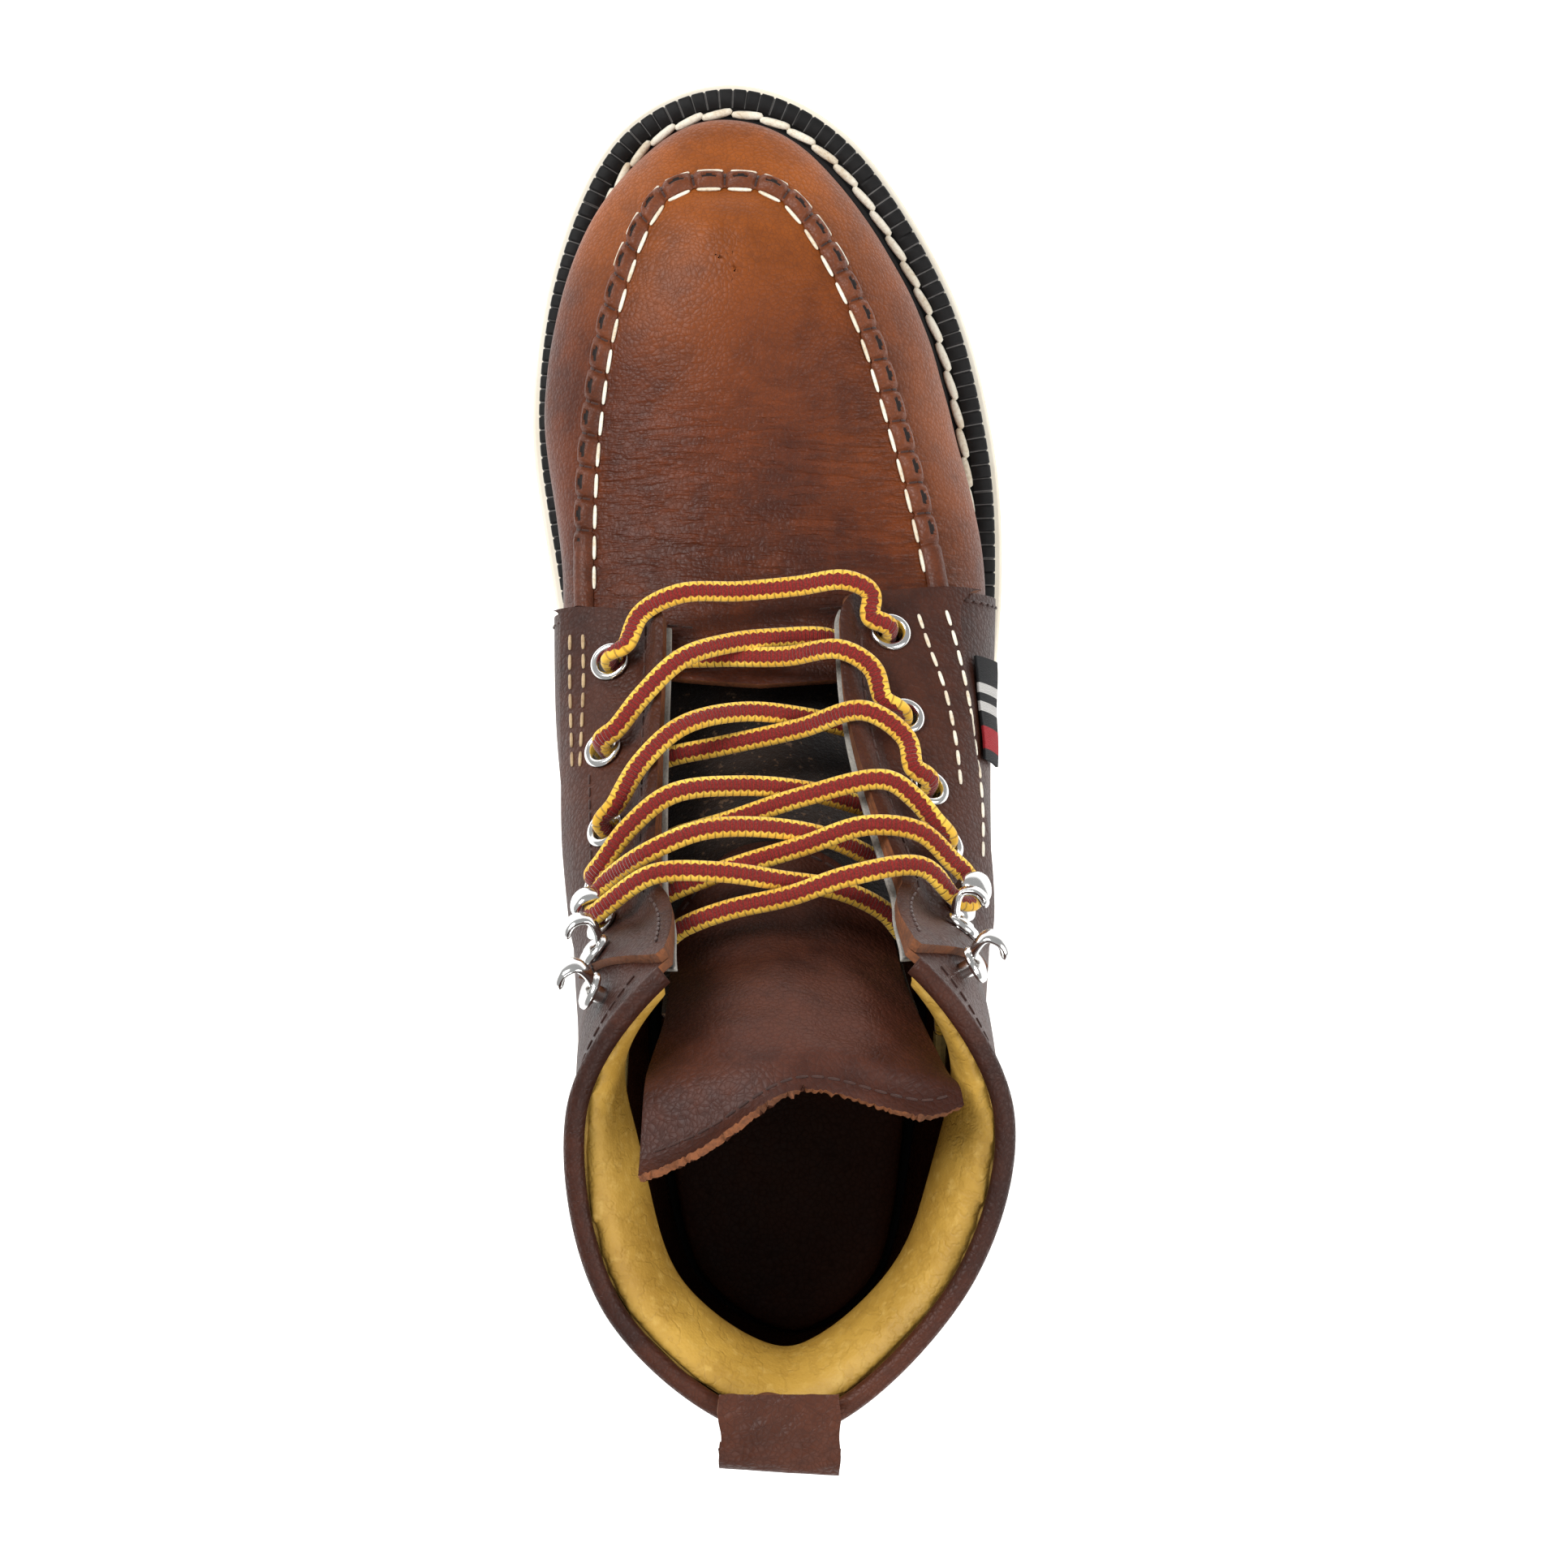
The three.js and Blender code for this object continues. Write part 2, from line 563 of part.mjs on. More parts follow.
addPiece("tongue_top", tonguePiece(tongueSplit + 0.004, 1, 0.3, 3.4, 9), "brownLeather");
for (const side of Object.keys(sides)) {
  const sign = sides[side].sign;
  const fold = panel(ordered(sign * 4.95, sign * 6.2), level([0.53, 0.62]), levels(layers.gusset), [5, 2]);
  addPiece("tongue_gusset_" + side, fold, "suede");
}

// Eyelets and speed hooks.
const ring = new THREE.LatheGeometry(
  [
    [eyeletHole, -2.2], [eyeletBarrel, -2.2], [eyeletBarrel, stayFace + 0.8], [eyeletFlange, stayFace + 0.8],
    [eyeletFlange - 0.3, stayFace + 1.4], [eyeletBarrel + 0.2, stayFace + 1.7], [eyeletHole, stayFace + 1.2],
    [eyeletHole, -2.2],
  ].map(([r, z]) => new THREE.Vector2(r, z)),
  12,
).rotateX(Math.PI / 2);
const hookBase = new THREE.LatheGeometry(
  [
    [0, -2.2], [rivetRadius, -2.2], [rivetRadius, stayFace + 1.1], [4.2, stayFace + 1.1], [4.1, stayFace + 1.6],
    [3.3, stayFace + 2], [0, stayFace + 2.4],
  ].map(([r, z]) => new THREE.Vector2(r, z)),
  10,
).rotateX(Math.PI / 2);
const armSection = new THREE.Shape();
armSection.absellipse(0, 0, 0.75, 1.9, 0, 2 * Math.PI);
// The arm rises from the base and bends away from the throat, leaving room for the lace below it.
function hook(sign) {
  const arm = openCurve(
    [[-1.6, 0, 0.5], [-2.7, 0, 4.4], [-1.4, 0, 8.6], [2.2, 0, 9.8], [5.2, 0, 8.9]].map(([x, y, z]) =>
      vector([-sign * x, y, z + stayFace]),
    ),
  );
  const armBar = new THREE.ExtrudeGeometry(armSection, { steps: 7, extrudePath: arm, curveSegments: 3 });
  return join(hookBase, armBar);
}
for (const side of Object.keys(sides)) {
  lacing[side].forEach(([x, y], index) => {
    const kind = index < eyeletCount ? "eyelet_" : "speed_hook_";
    const number = index < eyeletCount ? index + 1 : index - eyeletCount + 1;
    const shape = index < eyeletCount ? ring : hook(sides[side].sign);
    addPiece(kind + side + "_" + number, standing(shape, x, y), "nickel");
  });
}

// One lace, from its bar across the throat to both ends. Points are [x, y, height over the last].
function roundHole(side, index, steps) {
  const frame = frameOn(...lacing[side][index]);
  const inward = sides[side].sign;
  return steps.map(([across, ahead, height]) => new THREE.Vector3(inward * across, ahead, height).applyMatrix4(frame));
}
const intoHole = (side, index) =>
  roundHole(side, index, [
    [5.4, 1, 9.2], [2.9, 0.4, 8.8], [1, 0, 8], [0.1, 0, 5.6], [0, 0, 2], [0, 0, -1.2], [0.8, 0, -4], [3.2, 0, -5.8],
  ]);
const hookHeight = stayFace + 5.1;
const roundHook = (side) =>
  roundHole(side, eyeletCount, [
    [5.5, 5.6, hookHeight], [2, 5.1, hookHeight], [-0.9, 3, hookHeight], [-1.7, 0, hookHeight],
    [-0.9, -3, hookHeight], [2, -5, hookHeight], [5.5, -5.4, hookHeight],
  ]);
const innerHalf = [
  ...intoHole("medial", 0),
  [-27, 14.4, -3.6], [-23.5, 15, -0.2], [-19.5, 15.3, 2.9], [-11, 14.9, 5], [5, 13.8, 8], [16.5, 12.6, 12.6],
  [22.5, 8.5, 11.4],
  ...intoHole("lateral", 1),
  [24, 1.2, -3.8], [18.5, 1.4, -0.4], [8, 0.9, 4.6], [-6, -0.7, 8.8], [-17.5, -6.6, 12.6], [-24.5, -13.8, 11.4],
  ...intoHole("medial", 2),
  [-26, -23.4, -3.8], [-20.5, -23, -0.4], [-8, -21.6, 3], [8, -19.6, 7.6], [23.5, -18.6, 12.6], [29, -21.6, 11.6],
  ...intoHole("lateral", 3),
  [31, -27.2, -4.6], [26.5, -27, -2.6], [14, -26.6, 4.6], [1, -27.4, 8.8], [-12, -30, 12.2], [-20.5, -34.6, 12.8],
  ...roundHook("medial"),
  [-20.5, -41.5, 12.8], [-9, -37.8, 10], [4, -36.2, 5], [16, -36, 2.2], [26.5, -37.6, -2], [34.6, -40.4, -6.5],
];
const innerTail = [[38, -49, 107], [39, -57, 98], [39, -66, 91]];
const outerHalf = [
  ...intoHole("lateral", 0),
  [21.5, 20.9, -3.6], [17.2, 20.8, -0.2], [12.4, 20.6, 3], [4, 19.6, 5.4], [-8, 16.6, 9], [-18, 10.4, 12.6],
  [-25, 2.4, 11.4],
  ...intoHole("medial", 1),
  [-28, -5.8, -4.2], [-22.5, -5, -1], [-10, -4.2, 2], [8, -3.2, 6.6], [20.5, -3.2, 13.4], [28.6, -8, 11.4],
  ...intoHole("lateral", 2),
  [29, -14.8, -4.6], [23.5, -15, -2.6], [10, -16, 4.2], [-6, -17.8, 8.6], [-18, -22, 12.6], [-25.5, -28.4, 11.6],
  ...intoHole("medial", 3),
  [-26.8, -35.2, -4.2], [-21.5, -34.4, -1], [-8, -31.6, 2.4], [8, -29.4, 6.2], [20, -28, 11], [28.5, -30, 13],
  ...roundHook("lateral"),
  [28.5, -38.6, 13], [17, -38.8, 10], [5, -39.4, 5], [-8, -39.6, 1.4], [-18.5, -40.6, -2.2], [-26.6, -42, -6.5],
];
const outerTail = [[-30.5, -50, 108], [-31.5, -58, 99], [-32, -67, 92]];
const frontBar = [
  [-26, 22.6, 10.4], [-18, 26.6, 12.8], [-6, 29, 9.5], [7, 30, 9.5], [16.5, 29.6, 12.8], [22, 27, 11],
];
function onLast(place) {
  if (place.isVector3) return place;
  const { point, normal } = dropOn(place[0], place[1]);
  return point.addScaledVector(normal, place[2]);
}
const routePoints = [
  ...innerTail.map(vector).reverse(),
  ...[...innerHalf].reverse().map(onLast),
  ...frontBar.map(onLast),
  ...outerHalf.map(onLast),
  ...outerTail.map(vector),
];
const lacePath = new THREE.CatmullRomCurve3(routePoints, false, "centripetal");
const laceSection = new THREE.Shape();
laceSection.absarc(0, 0, laceRadius, 0, 2 * Math.PI);
const laceCells = { steps: 210, extrudePath: lacePath, curveSegments: 3 };
const laceBar = new THREE.ExtrudeGeometry(laceSection, laceCells);
addPiece("lace", laceBar, "lace");
const agletLength = 20;
const aglets = { medial: [outerTail[1], outerTail[2]], lateral: [innerTail[1], innerTail[2]] };
for (const [side, [before, last]] of Object.entries(aglets)) {
  const ahead = vector(last).sub(vector(before)).normalize();
  const tip = new THREE.CylinderGeometry(1.3, 1.7, agletLength, 8);
  tip.applyQuaternion(new THREE.Quaternion().setFromUnitVectors(new THREE.Vector3(0, 1, 0), ahead));
  const at = vector(last).addScaledVector(ahead, agletLength / 2 + gap + 0.3);
  addPiece("aglet_" + side, tip.translate(at.x, at.y, at.z), "blackRubber");
}

// Woven tag sewn along its upper edge on the outer quarter.
addPiece("side_tag", panel([-5.2, -4.6], level([0.32, 0.44]), levels(layers.tag), [4, 2]), "blackWeave");

// Centre the boot's box over the origin.
const box = new THREE.Box3().setFromObject(boot);
boot.position.set(-(box.min.x + box.max.x) / 2, -(box.min.y + box.max.y) / 2, -box.min.z);

export default boot;
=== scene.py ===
import json
import math

import bmesh
import bpy
import numpy as np
from mathutils import Matrix, Vector
from mathutils.bvhtree import BVHTree


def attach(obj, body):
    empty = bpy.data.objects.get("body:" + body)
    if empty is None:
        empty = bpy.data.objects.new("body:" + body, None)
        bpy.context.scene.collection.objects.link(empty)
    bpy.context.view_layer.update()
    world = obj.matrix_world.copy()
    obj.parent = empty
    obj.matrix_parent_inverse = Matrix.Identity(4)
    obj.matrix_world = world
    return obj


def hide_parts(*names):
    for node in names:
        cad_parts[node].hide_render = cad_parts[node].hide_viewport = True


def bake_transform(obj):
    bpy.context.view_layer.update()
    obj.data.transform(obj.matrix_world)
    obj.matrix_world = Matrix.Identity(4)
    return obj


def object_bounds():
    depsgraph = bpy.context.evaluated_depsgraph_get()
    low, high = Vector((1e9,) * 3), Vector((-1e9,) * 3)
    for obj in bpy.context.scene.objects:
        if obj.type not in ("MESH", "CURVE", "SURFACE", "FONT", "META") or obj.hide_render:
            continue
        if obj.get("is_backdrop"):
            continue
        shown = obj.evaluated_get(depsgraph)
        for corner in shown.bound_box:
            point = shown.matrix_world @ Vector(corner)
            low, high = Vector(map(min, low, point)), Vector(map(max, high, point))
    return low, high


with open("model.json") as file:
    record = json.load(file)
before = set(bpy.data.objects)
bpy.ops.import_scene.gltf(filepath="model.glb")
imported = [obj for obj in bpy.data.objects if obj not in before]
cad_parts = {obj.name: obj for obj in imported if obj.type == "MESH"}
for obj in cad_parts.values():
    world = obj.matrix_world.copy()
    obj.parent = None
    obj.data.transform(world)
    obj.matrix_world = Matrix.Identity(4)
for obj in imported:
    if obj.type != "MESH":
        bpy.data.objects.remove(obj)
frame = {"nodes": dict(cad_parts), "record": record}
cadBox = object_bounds()
mm = 0.001  # all shapes below are worked out in millimetres
bootShift = np.array([-0.119, -0.082, 0.0])  # from the last's own middle to the middle of the boot's box
toFrame = lambda points: (np.asarray(points, float) + bootShift) * mm

# camera, straight above the instep
view = {"place": (3.88, -11.48, 1125.0), "lens": 106.5, "sensor": 36.0}
camera = bpy.data.objects.new("camera", bpy.data.cameras.new("camera"))
bpy.context.scene.collection.objects.link(camera)
camera.location = Vector(view["place"]) * mm
camera.data.lens = view["lens"]
camera.data.sensor_width = view["sensor"]
camera.data.clip_start = 0.05
bpy.context.scene.camera = camera
bpy.context.scene.view_settings.view_transform = "Standard"

# ---------- the last: five lines round the boot, through all its ribs
ridge = {
    "tip": (-8, 104, 65),
    "front": (-8, 90, 66),
    "ball": (-6.5, 64, 66.5),
    "throat": (-4, 34, 71.5),
    "instep": (0, -2, 88.5),
    "ankle": (4, -44, 134),
}
ribs = [  # sole edge, feather inset, widest place (inset, height), shoulder, crown swell, top
    ((-8, 155.1), 13, (11.9, 42), (-10, 127.7, 53.5), (0, 2, 3), ridge["tip"]),
    ((-34.7, 144.4), 12.3, (11, 42), (-25, 123.5, 55), (0, 0, 3), ridge["tip"]),
    ((-50.4, 114.8), 9.8, (6.5, 43), (-35.4, 99.5, 58), (0, 0, 2.5), ridge["front"]),
    ((-56.2, 77), 9, (4.5, 42), (-40.6, 69.8, 58), (0, 0, 2.3), ridge["ball"]),
    ((-51.5, 38), 8, (4, 47), (-42, 38, 61), (0, 0, 3), ridge["throat"]),
    ((-44.5, 0), 5, (-1.5, 56), (-40, 2, 77), (-1, 0, 4.5), ridge["instep"]),
    ((-38.5, -42), 5, (-3, 62), (-38.5, -38, 98), (-4, 3, 4), ridge["ankle"]),
    ((-37, -62), 5.5, (-3, 66), (-38.5, -62, 103), (-5, 4, 0), (-19, -50, 168)),
    ((-36, -85), 6, (-2, 68), (-37.5, -86, 104), (0, 0, 0), (-38.5, -80, 160)),
    ((-26, -131), 7, (1, 68), (-27, -128, 103), (1, 1, 0), (-30, -122, 156)),
    ((6, -151), 8, (3, 66), (5.5, -145, 101), (0, 1.5, 0), (5, -145, 156)),
    ((36, -131), 7, (1, 68), (37, -127, 103), (-1, 1, 0), (38.5, -118, 156)),
    ((45, -85), 6, (-1, 68), (46.5, -86, 104), (0, 0, 0), (49, -80, 160)),
    ((46.8, -62), 5.5, (0, 66), (46, -60, 103), (4, 4, 0), (29, -48, 168)),
    ((48.8, -42), 6, (0.5, 62), (45, -38, 98), (3, 3, 4), ridge["ankle"]),
    ((53, 0), 7.5, (3.5, 56), (43, 2, 79), (1, 0, 4.5), ridge["instep"]),
    ((56.1, 38), 9, (5.8, 47), (38.5, 38, 63), (0, 0, 3), ridge["throat"]),
    ((53.8, 72), 11.2, (10.6, 42), (30.7, 69.8, 59), (0, 0, 2.3), ridge["ball"]),
    ((43.4, 107.8), 12.7, (11.5, 42), (21.2, 98.2, 58), (0, 0, 2.5), ridge["front"]),
    ((20, 142.5), 13, (12, 42), (5.7, 123.2, 55), (0, 0, 3), ridge["tip"]),
]
ribCount = len(ribs)
ridgeRibs = 5
sole = {
    "gap": 0.35,
    "midsole": 3.0,
    "welt": 4.0,
    "upperGap": 0.3,
    "top": [
        (165, 22), (140, 19), (100, 15.8), (60, 15), (20, 17), (-20, 21.5), (-60, 26), (-100, 29), (-160, 31)
    ],
}


def splineAt(points, places, closed=False):  # even Catmull-Rom through all points, places from 0 to 1
    points = np.asarray(points, float)
    count = len(points)
    spans = count if closed else count - 1
    place = np.asarray(places, float) * spans
    if closed:
        place = place % count
    index = np.clip(np.floor(place).astype(int), 0, spans - 1)
    part = (place - index)[..., None]
    if closed:
        before, start, end, after = (points[(index + step) % count] for step in (-1, 0, 1, 2))
    else:
        padded = np.vstack([2 * points[0] - points[1], points, 2 * points[-1] - points[-2]])
        before, start, end, after = (padded[index + step] for step in (0, 1, 2, 3))
    return (
        start
        + 0.5 * (end - before) * part
        + (before - 2.5 * start + 2 * end - 0.5 * after) * part**2
        + 0.5 * (3 * start - before - 3 * end + after) * part**3
    )


def smoothStep(value, low, high):
    part = np.clip((np.asarray(value, float) - low) / (high - low), 0, 1)
    return part * part * (3 - 2 * part)


def mixed(a, b, part):
    return a + (b - a) * part


def unit(vectors):
    return vectors / np.maximum(np.linalg.norm(vectors, axis=-1, keepdims=True), 1e-9)


def ripple(points, size, seed, waves=9):  # soft seeded unevenness between about -1 and 1
    random = np.random.default_rng(seed)
    total = 0
    for _ in range(waves):
        direction = unit(random.normal(size=3))
        rate = random.uniform(0.6, 1.7) * 2 * math.pi / size
        total = total + np.sin(points @ direction * rate + random.uniform(0, 6.28))
    return total / math.sqrt(waves) / 1.4


soleTopProfile = splineAt(sole["top"], np.linspace(0, 1, 400))[::-1]


def outsoleTop(y):
    return np.interp(y, soleTopProfile[:, 0], soleTopProfile[:, 1])


def outsoleBottom(y):
    toe = np.maximum(0, (y - 85) / 70) ** 2 * 7
    return toe + np.maximum(0, (-y - 138) / 13) ** 2 * 1.5


def midsoleTop(y):
    return outsoleTop(y) + sole["gap"] + sole["midsole"]


def upperBase(y):
    return midsoleTop(y) + sole["gap"] + sole["welt"]


def edgePoint(shares, inset):  # the sole's edge in plan, moved inwards
    line = [(*rib[0], 0) for rib in ribs]
    at = splineAt(line, shares, True)
    along = unit(splineAt(line, shares + 1e-4, True) - splineAt(line, shares - 1e-4, True))
    inward = np.stack([-along[..., 1], along[..., 0], 0 * along[..., 0]], -1)
    return at + inward * np.asarray(inset, float)[..., None]


def lastLine(kind):
    shares = np.arange(ribCount) / ribCount
    if kind == "feather":
        points = edgePoint(shares, np.array([rib[1] for rib in ribs]))
        points[:, 2] = upperBase(points[:, 1]) + sole["upperGap"]
        return points
    points = edgePoint(shares, np.array([rib[2][0] for rib in ribs]))
    points[:, 2] = [rib[2][1] for rib in ribs]
    return points


shoulderPoints = np.array([rib[3] for rib in ribs], float)
topPoints = np.array([rib[5] for rib in ribs], float)
crownPoints = (shoulderPoints + topPoints) / 2 + np.array([rib[4] for rib in ribs], float)
lastLines = [lastLine("feather"), lastLine("wall"), shoulderPoints, crownPoints, topPoints]


def fromToe(turns):
    shares = (np.asarray(turns, float) / ribCount) % 1
    return np.minimum(shares, 1 - shares) * ribCount


def lastPoint(turns, rises):  # turns in ribs from the toe, the outer side negative; rises from feather to top
    turns, rises = np.broadcast_arrays(np.asarray(turns, float), np.asarray(rises, float))
    shape = turns.shape
    turns, rises = turns.ravel(), rises.ravel()
    shares = (turns / ribCount) % 1
    feather, wall, shoulder, crown, top = (splineAt(line, shares, True) for line in lastLines)
    over = 2 * top - crown
    onRidge = np.clip(ridgeRibs + 1 - fromToe(turns), 0, 1)
    over[:, 2] = mixed(over[:, 2], crown[:, 2], onRidge)
    knots = np.stack([2 * feather - wall, feather, wall, shoulder, crown, top, over])
    place = 1 + 4 * rises
    index = np.clip(np.floor(place).astype(int), 1, 4)
    part = (place - index)[:, None]
    row = np.arange(len(turns))
    before, start, end, after = (knots[index + step, row] for step in (-1, 0, 1, 2))
    points = (
        start
        + 0.5 * (end - before) * part
        + (before - 2.5 * start + 2 * end - 0.5 * after) * part**2
        + 0.5 * (3 * start - before - 3 * end + after) * part**3
    )
    return points.reshape(*shape, 3)


def lastNormal(turns, rises):
    step = 0.01
    turns, rises = np.broadcast_arrays(np.asarray(turns, float), np.asarray(rises, float))
    around = lastPoint(turns + step, rises) - lastPoint(turns - step, rises)
    up = lastPoint(turns, np.minimum(rises + step, 1)) - lastPoint(turns, np.maximum(rises - step, 0))
    normals = unit(np.cross(around, up))
    onTop = (rises > 0.999) & (fromToe(turns) < ridgeRibs)
    if onTop.any():
        at = np.maximum(fromToe(turns[onTop]), 1.6)
        along = splineAt(
            topPoints, (at + 0.2) / ribCount, True
        ) - splineAt(topPoints, (at - 0.2) / ribCount, True)
        normals[onTop] = unit(np.stack([0 * at, along[:, 2], -along[:, 1]], -1))
    return normals


def lastOffset(turns, rises, out):
    turns, rises, out = np.broadcast_arrays(*(np.asarray(v, float) for v in (turns, rises, out)))
    return lastPoint(turns, rises) + lastNormal(turns, rises) * out[..., None]


def risePerMm(turns, rises):
    step = 0.004
    span = np.linalg.norm(
        lastPoint(turns, np.asarray(rises) + step) - lastPoint(turns, np.asarray(rises) - step), axis=-1
    )
    return 2 * step / np.maximum(span, 1e-3)


def lastTreeOf(columns=320, rows=90):
    turns, rises = np.meshgrid(np.linspace(-10, 10, columns + 1), np.linspace(0, 1, rows + 1), indexing="ij")
    points = lastPoint(turns, rises).reshape(-1, 3)
    at = lambda i, j: i * (rows + 1) + j
    faces = [
        (at(i, j), at(i + 1, j), at(i + 1, j + 1), at(i, j + 1)) for i in range(columns) for j in range(rows)
    ]
    return BVHTree.FromPolygons([tuple(p) for p in points], faces)


lastTree = lastTreeOf()


def dropOn(x, y):  # the last's point and normal straight below a place in plan
    point, normal, _, _ = lastTree.ray_cast(Vector((x, y, 400)), Vector((0, 0, -1)))
    return np.array(point), np.array(normal if normal.z > 0 else -normal)


def frameOn(x, y):  # X across the boot, Z straight out
    point, normal = dropOn(x, y)
    across = unit(np.array([1.0, 0, 0]) - normal * normal[0])
    return point, np.stack([across, np.cross(normal, across), normal], 1)


print("last ready")


# ---------- making pieces
def shapedGrid(cells, place, closed=False):
    bm = bmesh.new()
    bm.loops.layers.uv.new("UVMap")
    bmesh.ops.create_grid(bm, x_segments=cells[0], y_segments=cells[1], size=0.5, calc_uvs=True)
    shares = np.array([vertex.co[:2] for vertex in bm.verts]) + 0.5
    for vertex, point in zip(bm.verts, toFrame(place(shares[:, 0], shares[:, 1]))):
        vertex.co = point
    if closed:
        bmesh.ops.remove_doubles(bm, verts=bm.verts[:], dist=2e-6)
    return bm


def paintFaces(bm, chosen):  # the second finish on the faces whose middle is chosen
    layer = bm.loops.layers.uv.active
    middles = np.array([np.mean([corner[layer].uv for corner in face.loops], axis=0) for face in bm.faces])
    for face, hit in zip(bm.faces, chosen(middles[:, 0], middles[:, 1])):
        face.material_index = int(hit)


def makePiece(name, bm, finishes, standsFor=(), body="boot", ride=True):
    mesh = bpy.data.meshes.new(name)
    bm.to_mesh(mesh)
    bm.free()
    mesh.polygons.foreach_set("use_smooth", [True] * len(mesh.polygons))
    for finish in finishes:
        mesh.materials.append(finish)
    piece = bpy.data.objects.new(name, mesh)
    bpy.context.scene.collection.objects.link(piece)
    if ride:
        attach(piece, body)
    if standsFor:
        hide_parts(*standsFor)
    return piece


def applyAll(piece, sharp=50):
    bpy.context.view_layer.update()
    shown = piece.evaluated_get(bpy.context.evaluated_depsgraph_get())
    mesh = bpy.data.meshes.new_from_object(shown)
    piece.modifiers.clear()
    old = piece.data
    piece.data = mesh
    bpy.data.meshes.remove(old)
    if sharp:
        mesh.set_sharp_from_angle(angle=math.radians(sharp))
    return piece


def thicken(piece, thickness, edge=0.25, cutEdge=False):
    wall = piece.modifiers.new("wall", "SOLIDIFY")
    wall.thickness = thickness * mm
    wall.offset = -1
    if cutEdge:
        wall.material_offset_rim = 1
    if edge:
        soft = piece.modifiers.new("edge", "BEVEL")
        soft.width = edge * mm
        soft.segments = 2
        soft.limit_method = "ANGLE"
        soft.angle_limit = math.radians(60)
    return applyAll(piece)


def bandOnEdge(rows, columns=720):  # a closed band round the sole: rows of (inset, height) as functions
    def place(a, b):
        at = np.round(b * (len(rows) - 1)).astype(int)
        points = edgePoint(a, 0 * a)
        for index, (inset, height) in enumerate(rows):
            here = at == index
            depth = inset(a[here]) if callable(inset) else np.full(here.sum(), float(inset))
            moved = edgePoint(a[here], depth)
            moved[:, 2] = height(moved[:, 1], a[here])
            points[here] = moved
        return points

    return shapedGrid((columns, len(rows) - 1), place, closed=True)


def closeEnds(bm):
    rim = [edge for edge in bm.edges if edge.is_boundary]
    bmesh.ops.holes_fill(bm, edges=rim, sides=0)


def outwards(bm):
    bmesh.ops.recalc_face_normals(bm, faces=bm.faces[:])
    return bm


# ---------- shader helpers
class Wire:  # a socket that takes part in plain sums
    def __init__(self, finish, socket):
        self.finish = finish
        self.socket = socket

    def sum(self, kind, first, second):
        return self.finish.node("Math", {"operation": kind}, {0: first, 1: second})

    def __add__(self, other):
        return self.sum("ADD", self, other)

    def __radd__(self, other):
        return self.sum("ADD", other, self)

    def __sub__(self, other):
        return self.sum("SUBTRACT", self, other)

    def __rsub__(self, other):
        return self.sum("SUBTRACT", other, self)

    def __mul__(self, other):
        return self.sum("MULTIPLY", self, other)

    def __rmul__(self, other):
        return self.sum("MULTIPLY", other, self)

    def __truediv__(self, other):
        return self.sum("DIVIDE", self, other)

    def __pow__(self, other):
        return self.sum("POWER", self, other)

    def __abs__(self):
        return self.sum("ABSOLUTE", self, 0.0)


class Finish:  # one material's nodes
    def __init__(self, name, plain):
        self.material = bpy.data.materials.new(name)
        self.material.use_nodes = True
        self.tree = self.material.node_tree
        self.tree.nodes.clear()
        self.shader = self.tree.nodes.new("ShaderNodeBsdfPrincipled")
        output = self.tree.nodes.new("ShaderNodeOutputMaterial")
        self.tree.links.new(self.shader.outputs[0], output.inputs[0])
        self.put(self.shader, plain)

    def put(self, node, sockets):
        for key, value in sockets.items():
            if isinstance(value, Wire):
                self.tree.links.new(value.socket, node.inputs[key])
            elif isinstance(value, tuple) and len(value) == 3 and node.inputs[key].type == "RGBA":
                node.inputs[key].default_value = (*value, 1.0)
            else:
                node.inputs[key].default_value = value

    def node(self, kind, settings, sockets, out=0):
        node = self.tree.nodes.new("ShaderNode" + kind)
        for key, value in settings.items():
            if key == "stops":
                ramp = node.color_ramp
                while len(ramp.elements) < len(value):
                    ramp.elements.new(0.5)
                for element, (at, colour) in zip(ramp.elements, value):
                    element.position = at
                    element.color = (*colour, 1.0)
            else:
                setattr(node, key, value)
        self.put(node, sockets)
        return Wire(self, node.outputs[out])

    def place(self, out="Object"):
        return self.node("TexCoord", {}, {}, out)

    def stretched(self, place, scale, turn=(0, 0, 0)):
        return self.node("Mapping", {}, {"Vector": place, "Scale": scale, "Rotation": turn})

    def noise(self, place, scale, detail=3.0, rough=0.55, out="Fac"):
        return self.node(
            "TexNoise", {}, {"Vector": place, "Scale": scale, "Detail": detail, "Roughness": rough}, out
        )

    def cells(self, place, scale, feature="F1", out="Distance"):
        return self.node("TexVoronoi", {"feature": feature}, {"Vector": place, "Scale": scale}, out)

    def step(self, value, low, high, toLow=0.0, toHigh=1.0):
        limits = {"Value": value, "From Min": low, "From Max": high, "To Min": toLow, "To Max": toHigh}
        return self.node("MapRange", {"interpolation_type": "SMOOTHSTEP"}, limits)

    def blend(self, part, first, second):
        return self.node("Mix", {"data_type": "RGBA"}, {0: part, 6: first, 7: second}, 2)

    def axes(self, place):
        node = self.tree.nodes.new("ShaderNodeSeparateXYZ")
        self.tree.links.new(place.socket, node.inputs[0])
        return [Wire(self, socket) for socket in node.outputs]

    def bump(self, height, depth, under=None):
        sockets = {"Height": height, "Distance": depth * mm, "Strength": 1.0}
        if under:
            sockets["Normal"] = under
        return self.node("Bump", {}, sockets)


